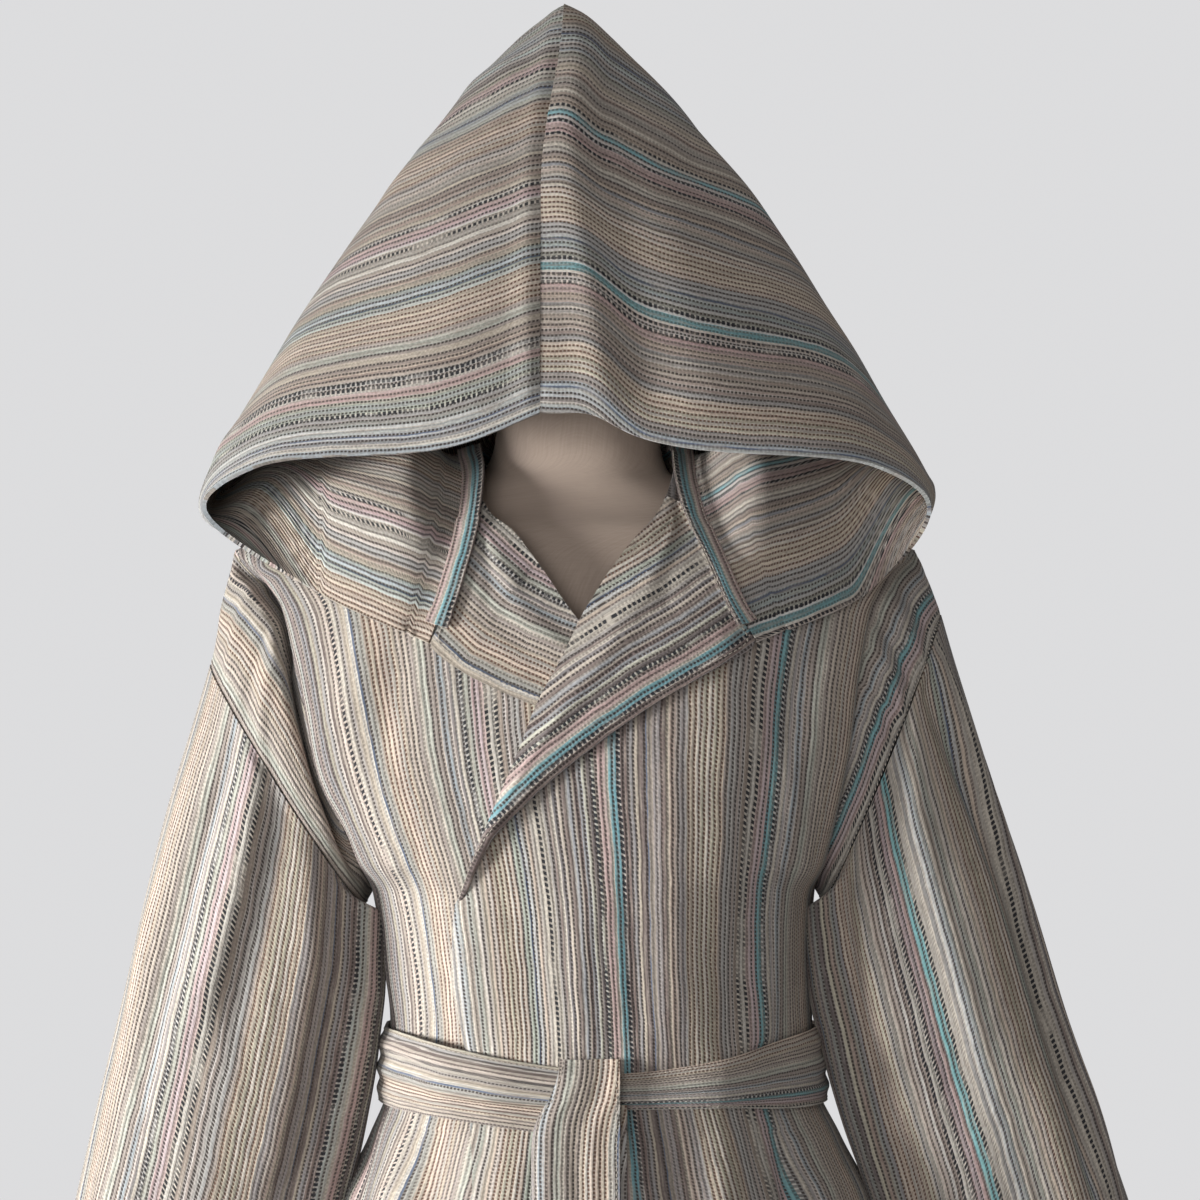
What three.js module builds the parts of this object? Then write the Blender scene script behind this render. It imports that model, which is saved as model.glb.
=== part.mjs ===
// A hooded bathrobe of striped woven cotton, tied with its own belt, on a linen-covered
// dress form that stands on a pole and a round foot. Millimetres, +Z up.
// The robe faces -Y, and "left" and "right" are the wearer's, so the left side is +X.
// The origin is the centre of the foot's underside.
import * as THREE from "three";

// Driving dimensions
const CLOTH = 2; // wall of the woven cotton
const TAPE = 1.6; // wall of the neck tape
const GAP = 0.4; // left open at a seam
const SIDE_Y = 6; // plane of the shoulder and side seams
const NECK_HALF = 82; // neck point of the shoulder, from the shoulder line's middle
const NECK_Z = 1548; // its height
const TIP_HALF = 272; // end of the dropped shoulder
const TIP_Z = 1473;
const SHOULDER_ROUND = 110; // depth below the shoulder line over which the body rounds off
const SHOULDER_FOOT = 1320; // nothing rests on the shoulders below this
const UNDERARM_Z = 1203;
const WAIST_Z = 1050;
const NAPE_DIP = 20; // dip of the back neckline below the neck points
const LAP_RISE = 10; // how far the left front stands over what it covers
const LAPEL_RISE = 4.5; // a turned-out lapel over its own front, at its edges
const ROLL_RISE = 2.9; // less along the roll line, where it turns into the front
const LEFT_ROLL = 5; // more in the middle of the left lapel
const RIGHT_ROLL = 1.5; // and of the right one, which the left front holds down
const NECK_RISE = 4.5; // neck seam over the fronts
const NECK_GAP = 2; // from the neck seam to the hood's edge
const TAPE_RISE = 4.4; // neck tape over the cloth on each side of the seam
const NAPE_RISE = 2; // and more at the nape
const TAPE_HALF = 9; // half its width
const HOOD_CLEAR = 5; // hood over the shoulders
const HOOD_X = -18; // middle of the hood
const BELT_RISE = 5; // belt over the fronts and the back
const BELT_HALF = 29; // half the belt's width
const TAIL_Z = 700; // free ends of the belt
const FORM_Z = 800; // underside of the dress form
const NECK_TOP_Z = 1632; // top of its neck, under the cap
const NECK_TOP_HALF = 62;
const NECK_X = -10;
const POLE_R = 16;
const MEET = 0.3; // between the form, its cap, the pole and the foot
const FOOT_R = 190;
const FOOT_TOP = 12;
const FACE_POWER = 2.5; // fullness of the body's sections

// The body, at each height: half width, sideways shift, front and back depth, and half the
// depth of the armhole there.
const BODY = table(
  ["z", "half", "shift", "front", "back", "hole"],
  [
    [1548, 272, -12, 72, 78, 0],
    [1473, 272, -12, 98, 92, 0],
    [1458, 252, -11, 103, 94, 36],
    [1430, 232, -10, 112, 97, 58],
    [1380, 219, -9, 122, 103, 72],
    [1320, 209, -7, 129, 107, 76],
    [1270, 196, -3, 130, 106, 68],
    [1230, 184, 1, 128, 103, 46],
    [1203, 176, 3, 126, 101, 0],
    [1150, 170, 6, 121, 96, 0],
    [1100, 168, 9, 115, 92, 0],
    [1050, 170, 10, 112, 90, 0],
    [1005, 188, 12, 124, 102, 0],
    [954, 212, 13, 140, 118, 0],
    [850, 231, 13, 152, 132, 0],
    [600, 256, 13, 168, 150, 0],
    [320, 272, 13, 180, 165, 0],
  ],
);

// The dress form's level sections.
const FORM = table(
  ["z", "half", "front", "back", "shift"],
  [
    [FORM_Z, 138, 96, 104, 8],
    [870, 160, 112, 112, 10],
    [950, 156, 108, 98, 10],
    [1010, 140, 98, 91.6, 10],
    [1060, 126, 90, 78, 10],
    [1120, 132, 96, 82, 8],
    [1200, 148, 112, 90, 3],
    [1280, 160, 122, 95, -2],
    [1350, 168, 117, 94, -8],
    [1420, 176, 104, 88, -10],
    [1465, 178, 88, 78, -11],
    [1490, 168, 76, 66, -12],
    [1507, 142, 60, 48, -12],
    [1522, 103, 53, 41, -12],
    [1538, 73, 51, 41, -11],
    [1560, 66, 54, 46, -10],
    [1600, 62, 56, 50, NECK_X],
    [NECK_TOP_Z, NECK_TOP_HALF, 58, 52, NECK_X],
  ],
);

// The fronts' rows: height at the armhole or side seam, and the inner edge, which is the neck
// seam, then the roll line of the lapel, then the front edge.
const LEFT_FRONT = table(
  ["sideZ", "x", "z"],
  [
    [1473, 70, 1548],
    [1465, 66, 1535],
    [1456, 61, 1519],
    [1441, 50, 1497],
    [1425, 32, 1476],
    [1403, 13, 1449],
    [1380, -5, 1421],
    [1350, -21, 1388],
    [1320, -39, 1355],
    [1295, -53, 1320],
    [1270, -66, 1288],
    [1250, -79, 1256],
    [1230, -88, 1230],
    [1203, -96, 1203],
    [1150, -98, 1150],
    [1100, -91, 1100],
    [1050, -88, 1050],
    [1028, -88, 1028],
    [1005, -87, 1005],
    [954, -86, 954],
    [850, -85, 850],
    [600, -83, 600],
    [320, -80, 320],
  ],
);
const RIGHT_FRONT = table(
  ["sideZ", "x", "z"],
  [
    [1473, -94, 1548],
    [1465, -92, 1535],
    [1456, -88, 1519],
    [1441, -76, 1499],
    [1425, -59, 1486],
    [1403, -44, 1467],
    [1380, -18, 1430],
    [1350, 5, 1401],
    [1320, 30, 1368],
    [1295, 56, 1333],
    [1270, 84, 1296],
    [1250, 88, 1262],
    [1230, 90, 1232],
    [1203, 93, 1203],
    [1150, 95, 1150],
    [1100, 91, 1100],
    [1050, 88, 1050],
    [1028, 88, 1028],
    [1005, 87, 1005],
    [954, 86, 954],
    [850, 85, 850],
    [600, 83, 600],
    [320, 80, 320],
  ],
);

// The lapels' rows: a point of the roll line, and the point across from it on the outer edge
// or, above the corner, on the neck seam.
const LEFT_LAPEL = table(
  ["x", "z", "outerX", "outerZ"],
  [
    [-79, 1256, -74, 1252],
    [-66, 1288, -46, 1281],
    [-53, 1320, -20, 1304],
    [-39, 1355, 16, 1331],
    [-21, 1388, 55, 1357],
    [-5, 1421, 94, 1379],
    [6, 1438, 125, 1400],
    [13, 1449, 113, 1418],
    [32, 1476, 98, 1445],
    [50, 1497, 86, 1474],
    [59, 1513, 75, 1504],
  ],
);
const RIGHT_LAPEL = table(
  ["x", "z", "outerX", "outerZ"],
  [
    [84, 1296, 79, 1292],
    [56, 1333, 50, 1312],
    [30, 1368, 8, 1332],
    [5, 1401, -30, 1348],
    [-18, 1430, -67, 1363],
    [-31, 1449, -100, 1380],
    [-38, 1459, -121, 1399],
    [-44, 1467, -114, 1416],
    [-59, 1486, -104, 1446],
    [-76, 1499, -94, 1477],
    [-84, 1512, -89, 1504],
  ],
);

// The neck seam, from the lapel's corner over the shoulder to the nape: half width, middle,
// height, and the side of the shoulder line that it is on.
const NECK = table(
  ["half", "middle", "z", "behind"],
  [
    [123, 2, 1399, 0],
    [102, -3, 1443, 0],
    [90, -5, 1477, 0],
    [83, -7, 1506, 0],
    [80, -9, 1530, 0],
    [82, -12, 1548, 0],
    [75, -12, 1544, 1],
    [54, -12, 1534, 1],
    [28, -12, 1529, 1],
    [0, -12, 1528, 1],
  ],
);

// The hood's sections, from its front edge to the back of the neck: the centre seam, the
// face, its side, the roll over the shoulder, and where the cloth rests below the shoulder line.
const HOOD_SEAM = table(
  ["y", "z"],
  [
    [-128, 1577],
    [-120, 1640],
    [-106, 1708],
    [-86, 1778],
    [-58, 1848],
    [-18, 1908],
    [48, 1850],
    [100, 1748],
    [134, 1640],
    [146, 1570],
  ],
);
const HOOD_FACE = table(
  ["x", "y", "z"],
  [
    [90, -126, 1551],
    [100, -116, 1622],
    [84, -98, 1692],
    [62, -78, 1766],
    [42, -50, 1838],
    [44, -4, 1878],
    [52, 56, 1808],
    [50, 104, 1708],
    [34, 136, 1612],
    [0, 145, 1555],
  ],
);
const HOOD_SIDE = table(
  ["x", "y", "z"],
  [
    [240, -102, 1537],
    [222, -70, 1600],
    [186, -50, 1668],
    [146, -34, 1742],
    [104, -20, 1808],
    [116, 14, 1790],
    [128, 66, 1700],
    [112, 112, 1622],
    [70, 138, 1566],
    [0, 143, 1535],
  ],
);
const HOOD_ROLL = table(
  ["x", "y", "z"],
  [
    [283, -74, 1506],
    [290, -40, 1502],
    [290, -10, 1499],
    [286, 14, 1497],
    [278, 34, 1495],
    [262, 58, 1494],
    [230, 88, 1492],
    [180, 116, 1493],
    [108, 138, 1500],
    [0, 134, 1512],
  ],
);
const HOOD_REST = table(
  ["x", "drop"],
  [
    [200, 56],
    [205, 32],
    [210, 15],
    [208, 6],
    [200, 2],
    [185, 0],
    [155, 10],
    [110, 26],
    [60, 48],
    [0, 68],
  ],
);

// The sleeves: outer and inner points of each ring, and half its depth.
const LEFT_SLEEVE = table(
  ["outX", "outZ", "inX", "inZ", "half"],
  [
    [280, 1422, 188, 1194, 74],
    [294, 1376, 188, 1168, 75],
    [318, 1300, 192, 1128, 75],
    [345, 1215, 202, 1080, 74],
    [374, 1120, 216, 1020, 72],
    [404, 1025, 235, 960, 71],
    [433, 935, 248, 897, 70],
    [452, 876, 257, 850, 70],
  ],
);
const RIGHT_SLEEVE = table(
  ["outX", "outZ", "inX", "inZ", "half"],
  [
    [-303, 1382, -182, 1190, 74],
    [-314, 1344, -181, 1166, 75],
    [-332, 1284, -181, 1128, 75],
    [-352, 1206, -187, 1080, 74],
    [-374, 1116, -198, 1020, 72],
    [-396, 1024, -211, 960, 71],
    [-417, 935, -225, 897, 70],
    [-430, 876, -233, 850, 70],
  ],
);

function table(columns, rows) {
  return rows.map((row) => Object.fromEntries(columns.map((name, i) => [name, row[i]])));
}

function clamp(value, low, high) {
  return Math.min(high, Math.max(low, value));
}

function lerp(a, b, t) {
  return a + (b - a) * t;
}

function smooth(edge0, edge1, value) {
  const t = clamp((value - edge0) / (edge1 - edge0), 0, 1);
  return t * t * (3 - 2 * t);
}

// One column of a table at a place between its rows, smoothly and with no overshoot.
function along(rows, key, at, column) {
  const last = rows.length - 1;
  const way = Math.sign(rows[last][key] - rows[0][key]);
  let i = 0;
  while (i < last - 1 && way * (at - rows[i + 1][key]) > 0) i++;
  const slope = (k) =>
    (rows[k + 1][column] - rows[k][column]) / (rows[k + 1][key] - rows[k][key]);
  const tangent = (k) => {
    if (k === 0) return slope(0);
    if (k === last) return slope(last - 1);
    const before = slope(k - 1);
    const after = slope(k);
    return before * after <= 0 ? 0 : (2 * before * after) / (before + after);
  };
  const step = rows[i + 1][key] - rows[i][key];
  const t = clamp((at - rows[i][key]) / step, 0, 1);
  const bend = t * (1 - t) * step;
  const straight = lerp(rows[i][column], rows[i + 1][column], t * t * (3 - 2 * t));
  return straight + bend * ((1 - t) * tangent(i) - t * tangent(i + 1));
}

// A row of a table at a fraction of its length.
function rowAt(rows, fraction) {
  const place = clamp(fraction, 0, 1) * (rows.length - 1);
  const numbered = rows.map((row, i) => ({ ...row, i }));
  return Object.fromEntries(
    Object.keys(rows[0]).map((name) => [name, along(numbered, "i", place, name)]),
  );
}

function bodyAt(z) {
  return Object.fromEntries(
    ["half", "shift", "front", "back", "hole"].map((name) => [name, along(BODY, "z", z, name)]),
  );
}

// Height of the shoulder line over a place across the body.
function shoulderZ(x) {
  const shift = BODY[0].shift;
  const fall = (NECK_Z - TIP_Z) / (TIP_HALF - NECK_HALF);
  return NECK_Z - fall * (Math.abs(x - shift) - NECK_HALF);
}

// The body's rounding below the shoulder line, from 0 on the line to 1.
function rounding(x, z) {
  const below = clamp((shoulderZ(x) - z) / SHOULDER_ROUND, 0, 1);
  return Math.sqrt(1 - (1 - below) ** 2);
}

// Half the depth of the armhole at a height, measured from the side plane.
function holeDepth(z) {
  const body = bodyAt(z);
  return body.hole * rounding(body.shift + body.half, z);
}

// The cloth's middle surface: Y at a place on the front (side -1) or the back (side 1).
function bodyY(x, z, side) {
  const body = bodyAt(z);
  const across = clamp(Math.abs(x - body.shift) / body.half, 0, 1);
  const full = Math.sqrt(1 - across ** FACE_POWER);
  const depth = side < 0 ? body.front + SIDE_Y : body.back - SIDE_Y;
  return SIDE_Y + side * (body.hole + (depth - body.hole) * full) * rounding(x, z);
}

// The same, moved out along the surface's normal.
function bodyPoint(x, z, side, out) {
  const h = 0.5;
  const slopeX = (bodyY(x + h, z, side) - bodyY(x - h, z, side)) / (2 * h);
  const slopeZ = (bodyY(x, z + h, side) - bodyY(x, z - h, side)) / (2 * h);
  const normal = new THREE.Vector3(-side * slopeX, side, -side * slopeZ).normalize();
  return new THREE.Vector3(x, bodyY(x, z, side), z).addScaledVector(normal, out);
}

// Height of the shoulders' upper side over a place, found by halving.
function restZ(x, y) {
  const side = y < SIDE_Y ? -1 : 1;
  let low = 1300;
  let high = shoulderZ(x);
  for (let i = 0; i < 24; i++) {
    const z = (low + high) / 2;
    if (Math.abs(bodyY(x, z, side) - SIDE_Y) > Math.abs(y - SIDE_Y)) low = z;
    else high = z;
  }
  return high;
}

// A point moved just clear of the shoulders, up or out, whichever is nearer.
function clearOf(point, clear, way) {
  const side = point.y < SIDE_Y ? -1 : 1;
  const lap = way > 0 && side < 0 ? leftRise(point.x, point.z) : 0;
  const gap = clear + lap;
  const top = restZ(point.x, point.y) + gap * 1.4;
  const above = point.z >= top;
  const line = shoulderZ(point.x);
  if (point.z < SHOULDER_FOOT || (above && point.z > line - 20)) return point;
  const skin = bodyPoint(point.x, Math.min(point.z, line - 1), side, gap * 1.3);
  const inside = side * (skin.y - point.y);
  if (!above && top - point.z < Math.abs(inside)) point.z = top;
  else if (inside > 0) point.y = skin.y;
  return point;
}

// How far the left front stands off the body, over the right front and its lapel.
function leftRise(x, z) {
  return LAP_RISE * (1 - smooth(95, 150, x)) * (1 - smooth(1440, 1505, z));
}

// One closed wall through a grid of points. Edges named in the mitre keep their end faces in
// the plane of the seam, by dropping that component of the normal.
function wall(grid, thickness, { closed = false, mitre = {} } = {}) {
  const rows = grid.length;
  const cols = grid[0].length;
  const column = (j) => (closed ? (j + cols) % cols : clamp(j, 0, cols - 1));
  const at = (i, j) => grid[clamp(i, 0, rows - 1)][column(j)];
  const positions = [];
  const index = [];
  const seam = (i, j) => {
    if (i === 0 && mitre.start) return mitre.start;
    if (i === rows - 1 && mitre.end) return mitre.end;
    if (!closed && j === 0 && mitre.first) return mitre.first;
    if (!closed && j === cols - 1 && mitre.last) return mitre.last;
    return null;
  };
  for (const face of [1, -1])
    for (let i = 0; i < rows; i++)
      for (let j = 0; j < cols; j++) {
        const down = at(i + 1, j).clone().sub(at(i - 1, j));
        const over = at(i, j + 1).clone().sub(at(i, j - 1));
        const normal = down.cross(over);
        const plane = seam(i, j);
        if (plane) normal[plane] = 0;
        normal.normalize();
        positions.push(...at(i, j).clone().addScaledVector(normal, (face * thickness) / 2));
      }
  const across = closed ? cols : cols - 1;
  const id = (face, i, j) => (face * rows + i) * cols + (j % cols);
  const quad = (a, b, c, d) => index.push(a, b, c, a, c, d);
  for (let i = 0; i < rows - 1; i++)
    for (let j = 0; j < across; j++) {
      quad(id(0, i, j), id(0, i + 1, j), id(0, i + 1, j + 1), id(0, i, j + 1));
      quad(id(1, i, j), id(1, i, j + 1), id(1, i + 1, j + 1), id(1, i + 1, j));
    }
  for (let j = 0; j < across; j++) {
    quad(id(0, 0, j), id(0, 0, j + 1), id(1, 0, j + 1), id(1, 0, j));
    quad(id(0, rows - 1, j), id(1, rows - 1, j), id(1, rows - 1, j + 1), id(0, rows - 1, j + 1));
  }
  if (!closed)
    for (let i = 0; i < rows - 1; i++) {
      quad(id(0, i, 0), id(1, i, 0), id(1, i + 1, 0), id(0, i + 1, 0));
      quad(id(0, i, cols - 1), id(0, i + 1, cols - 1), id(1, i + 1, cols - 1), id(1, i, cols - 1));
    }
  return outward(positions, index);
}

// Indexed triangles as a geometry whose faces point out.
function outward(positions, index) {
  const geometry = new THREE.BufferGeometry();
  geometry.setAttribute("position", new THREE.Float32BufferAttribute(positions, 3));
  const corner = (k) => new THREE.Vector3().fromArray(positions, 3 * index[k]);
  let volume = 0;
  for (let k = 0; k < index.length; k += 3)
    volume += corner(k).dot(corner(k + 1).cross(corner(k + 2)));
  if (volume < 0)
    for (let k = 1; k < index.length; k += 3) [index[k], index[k + 1]] = [index[k + 1], index[k]];
  geometry.setIndex(index);
  geometry.computeVertexNormals();
  return geometry;
}

// Fractions from 0 to 1.
function steps(count) {
  return Array.from({ length: count + 1 }, (_, i) => i / count);
}

// A smooth line through a few points, at a fraction of its length.
function through(points) {
  const curve = new THREE.CatmullRomCurve3(points, false, "centripetal");
  return (t) => curve.getPointAt(clamp(t, 0, 1));
}

const COTTON = { roughness: 0.95, metalness: 0 };
const MATERIALS = {
  cotton: new THREE.MeshStandardMaterial({ color: 0xb8ada0, ...COTTON }),
  tape: new THREE.MeshStandardMaterial({ color: 0xa89a8a, ...COTTON }),
  belt: new THREE.MeshStandardMaterial({ color: 0xb3a99c, ...COTTON }),
  linen: new THREE.MeshStandardMaterial({ color: 0xa8988a, ...COTTON }),
  wood: new THREE.MeshStandardMaterial({ color: 0x8a6a4a, roughness: 0.5, metalness: 0 }),
  steel: new THREE.MeshStandardMaterial({ color: 0x8c8c8c, roughness: 0.4, metalness: 1 }),
};

const robe = new THREE.Group();

function add(name, geometry, material) {
  const mesh = new THREE.Mesh(geometry, MATERIALS[material]);
  mesh.name = name;
  robe.add(mesh);
}

// A front panel, from its inner edge to the armhole and side seam. way is 1 on the left.
function frontPanel(rows, way, rise, columns) {
  const grid = rows.map(({ sideZ, x, z }) => {
    const inner = bodyAt(z);
    const from = Math.asin(clamp((x - inner.shift) / inner.half, -1, 1));
    return steps(columns).map((s) => {
      const angle = lerp(from, (way * Math.PI) / 2, s);
      let height = lerp(z, sideZ, s);
      let place = x;
      for (let k = 0; k < 4; k++) {
        const body = bodyAt(height);
        const side = bodyAt(sideZ);
        place = body.shift + body.half * Math.sin(angle);
        const share = (place - x) / (side.shift + way * side.half - x);
        height = Math.min(lerp(z, sideZ, clamp(share, 0, 1)), shoulderZ(place));
      }
      const edge = s > 0.999;
      const point = edge
        ? new THREE.Vector3(place, SIDE_Y - holeDepth(height), height)
        : bodyPoint(place, height, -1, rise(place, height));
      point.y = Math.min(point.y, SIDE_Y - GAP / 2);
      return point;
    });
  });
  return wall(grid, CLOTH, { mitre: { start: "y", last: "y" } });
}

// The back panel, from the shoulder line and the back neckline to the hem.
function backPanel(rows, columns) {
  const neckline = (x) => {
    const across = Math.abs(x - BODY[0].shift) / NECK_HALF;
    if (across >= 1) return shoulderZ(x);
    return NECK_Z - NAPE_DIP * (1 - across ** 2) ** 0.5;
  };
  const grid = rows.map(({ sideZ }) => {
    const flat = 1 - smooth(TIP_Z, 1330, sideZ);
    return steps(columns).map((s) => {
      const angle = lerp(-Math.PI / 2, Math.PI / 2, s);
      let height = sideZ;
      let place = 0;
      for (let k = 0; k < 4; k++) {
        const body = bodyAt(height);
        place = body.shift + body.half * Math.sin(angle);
        height = sideZ + flat * (neckline(place) - TIP_Z);
      }
      const edge = s < 0.001 || s > 0.999;
      const point = edge
        ? new THREE.Vector3(place, SIDE_Y + holeDepth(height), height)
        : bodyPoint(place, height, 1, 0);
      point.y = Math.max(point.y, SIDE_Y + GAP / 2);
      return point;
    });
  });
  return wall(grid, CLOTH, { mitre: { start: "y", first: "y", last: "y" } });
}

// A lapel, turned out along its roll line and lying on its own front.
function lapel(rows, rise, bulge, columns) {
  const grid = steps(rows.length - 1).map((t) => {
    const row = rowAt(rows, t);
    return steps(columns).map((s) => {
      const x = lerp(row.x, row.outerX, s);
      const z = lerp(row.z, row.outerZ, s);
      const roll = bulge * Math.sin(Math.PI * s) * Math.sin(Math.PI * clamp(t * 1.2, 0, 1));
      const lift = lerp(ROLL_RISE, LAPEL_RISE, smooth(0, 0.3, s));
      return bodyPoint(x, z, -1, rise(x, z) + lift + roll);
    });
  });
  return wall(grid, CLOTH);
}

// A point of the neck seam, moved out from the body and, by aside, away from the neck. way is
// 1 on the left.
function neckPoint(t, way, out, aside) {
  const row = rowAt(NECK, t);
  const x = row.middle + way * row.half;
  const side = t > 0.555 ? 1 : -1;
  const z = Math.min(row.z, shoulderZ(x) - 0.5);
  const lap = way > 0 && side < 0 ? leftRise(x, z) : 0;
  const point = bodyPoint(x, z, side, out + lap);
  const across = 1 - smooth(0.6, 1, t);
  point.x += way * aside * across;
  point.y += aside * (1 - across);
  point.z += 0.4 * aside * (1 - smooth(0.3, 0.5, t));
  return point;
}

// A section of the hood, from the centre seam round over the shoulder to the neck seam.
function hoodSection(t, way) {
  const seam = rowAt(HOOD_SEAM, t);
  const rest = rowAt(HOOD_REST, t);
  const seamX = HOOD_X + lerp(-20, -2, smooth(0.3, 0.55, t));
  const place = ({ x, y, z }) =>
    new THREE.Vector3(lerp(seamX, HOOD_X, clamp(x / 90, 0, 1)) + way * x, y, z);
  const restX = HOOD_X + way * rest.x;
  const line = through([
    new THREE.Vector3(seamX, seam.y, seam.z),
    place(rowAt(HOOD_FACE, t)),
    place(rowAt(HOOD_SIDE, t)),
    place(rowAt(HOOD_ROLL, t)),
    bodyPoint(restX, shoulderZ(restX) - rest.drop - 1, t > 0.555 ? 1 : -1, NECK_RISE + 3),
    neckPoint(t, way, NECK_RISE, NECK_GAP),
  ]);
  return (s) => {
    const point = s > 0.4 && s < 0.97 ? clearOf(line(s), HOOD_CLEAR, way) : line(s);
    const middle = seamX + (way * GAP) / 2;
    point.x = way * Math.max(way * point.x, way * middle);
    return point;
  };
}

function hoodHalf(way, rowsCount, columns) {
  const grid = steps(rowsCount).map((t) => steps(columns).map(hoodSection(t, way)));
  return wall(grid, CLOTH, { mitre: { first: "x", end: "x" } });
}

// The tape over the whole neck seam, from one lapel's corner round the nape to the other's. It
// lies on the hood beside the seam and, on the neck's side, on the lapel.
function neckTape(count) {
  const rib = (u) => {
    const way = u < 0.5 ? 1 : -1;
    const t = 1 - Math.abs(1 - 2 * u);
    const seam = neckPoint(t, way, NECK_RISE, 0);
    const section = hoodSection(t, way);
    let s = 0.999;
    while (section(s).distanceTo(seam) < TAPE_HALF) s -= 0.002;
    const outer = section(s);
    const inner = seam.clone().multiplyScalar(2).sub(outer);
    if (t < 0.5) {
      const rise = way > 0 ? leftRise(inner.x, inner.z) : 0;
      const z = Math.min(inner.z, shoulderZ(inner.x) - 1);
      inner.copy(bodyPoint(inner.x, z, -1, rise + NECK_RISE));
    }
    return [inner, seam, outer, TAPE_RISE + NAPE_RISE * smooth(0.75, 1, t)];
  };
  const ribs = steps(count).map(rib);
  const grid = ribs.map((row, i) => {
    const ahead = ribs[Math.min(count, i + 1)][1].clone().sub(ribs[Math.max(0, i - 1)][1]);
    const normal = ahead.cross(row[2].clone().sub(row[0])).normalize();
    if (normal.z + Math.sign(row[1].y - SIDE_Y) * normal.y < 0) normal.negate();
    return row.slice(0, 3).map((point) => point.clone().addScaledVector(normal, row[3]));
  });
  return wall(grid, TAPE);
}

// A ring of a sleeve, or of the armhole.
function ringPoint(out, inn, half, angle) {
  const middle = out.clone().add(inn).multiplyScalar(0.5);
  const arm = out.clone().sub(inn).multiplyScalar(0.5);
  const flat = 0.9;
  const c = Math.sign(Math.cos(angle)) * Math.abs(Math.cos(angle)) ** flat;
  const s = Math.sign(Math.sin(angle)) * Math.abs(Math.sin(angle)) ** flat;
  return middle.addScaledVector(arm, c).add(new THREE.Vector3(0, -half * s, 0));
}

const RING = 24; // points round a sleeve

function sleeveRing(row) {
  const out = new THREE.Vector3(row.outX, SIDE_Y, row.outZ);
  const inn = new THREE.Vector3(row.inX, SIDE_Y, row.inZ);
  return steps(RING - 1).map((_, i) => ringPoint(out, inn, row.half, (2 * Math.PI * i) / RING));
}

function sleeve(rows) {
  return wall(rows.map(sleeveRing), CLOTH, { closed: true });
}

// The armhole's edge on the body, round from the shoulder tip by the front, moved out from
// the panels' edges.
function armholeRing(way) {
  return steps(RING - 1).map((_, i) => {
    const angle = (2 * Math.PI * i) / RING;
    const z = lerp(UNDERARM_Z + 2, TIP_Z - 1, (1 + Math.cos(angle)) / 2);
    const body = bodyAt(z);
    const slope = (bodyAt(z + 1).half - bodyAt(z - 1).half) / 2;
    const out = (CLOTH / 2 + GAP + 1.2) / Math.hypot(1, slope);
    const x = body.shift + way * (body.half + out);
    return new THREE.Vector3(x, SIDE_Y - Math.sign(Math.sin(angle)) * holeDepth(z), z - slope * out);
  });
}

// The band between the armhole and the sleeve, widest over the shoulder.
function armholeBand(rows, way) {
  const start = armholeRing(way);
  const across = new THREE.Vector3(rows[0].outX - rows[0].inX, 0, rows[0].outZ - rows[0].inZ);
  const up = across.cross(new THREE.Vector3(0, way, 0)).normalize();
  const end = sleeveRing(rows[0]).map((p) => p.clone().addScaledVector(up, GAP + 0.9));
  const count = 3;
  const grid = steps(count).map((t) =>
    start.map((p, i) => {
      const q = end[i];
      const swell = 6 * Math.sin(Math.PI * t) * smooth(20, 90, p.distanceTo(q));
      const point = p.clone().lerp(q, t);
      point.z += swell * Math.max(0, Math.cos((2 * Math.PI * i) / RING));
      point.y -= swell * Math.sin((2 * Math.PI * i) / RING);
      return point;
    }),
  );
  return wall(grid, CLOTH, { closed: true });
}

// The belt's middle height round the body, which drops towards the knot in front.
function beltZ(x, side) {
  const front = side < 0 ? 1 - smooth(0, 170, Math.abs(x - 10)) : 0;
  return WAIST_Z + 14 - 26 * front;
}

// How far the belt is pushed out by the overlapping fronts.
function lapRise(x) {
  return LAP_RISE * smooth(-150, -95, x) * (1 - smooth(95, 150, x));
}

// The belt from the knot round the back to the knot again.
function beltWrap(columns) {
  const gap = 0.14; // of a turn's radians, left at the knot
  const grid = [-1, 0, 1].map((k) =>
    steps(columns).map((s) => {
      const turn = lerp(gap, 2 * Math.PI - gap, s);
      const side = Math.cos(turn) > 0 ? -1 : 1;
      const body = bodyAt(WAIST_Z);
      const x = body.shift + body.half * Math.sin(turn);
      const narrow = 1 - 0.22 * Math.max(0, Math.cos(turn)) ** 4;
      const z = beltZ(x, side) + k * BELT_HALF * narrow;
      const spread = body.shift + bodyAt(z).half * Math.sin(turn);
      const rise = BELT_RISE + (side < 0 ? lapRise(spread) : 0) + 2.5 * (1 - k * k);
      return bodyPoint(spread, z, side, rise);
    }),
  );
  return wall(grid, CLOTH);
}

// A free end of the belt, hanging from the knot in front of the robe.
function beltTail(topZ, bottomZ, x, topHalf, half, out) {
  const grid = steps(10).map((t) => {
    const z = lerp(topZ, bottomZ, t);
    const wide = lerp(topHalf, half, smooth(0, 0.2, t));
    return steps(3).map((s) => {
      const place = x + lerp(-wide, wide, s);
      const fold = 1.5 * Math.sin(Math.PI * 2 * s);
      return bodyPoint(place, z, -1, LAP_RISE + out + fold);
    });
  });
  return wall(grid, CLOTH);
}

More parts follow.
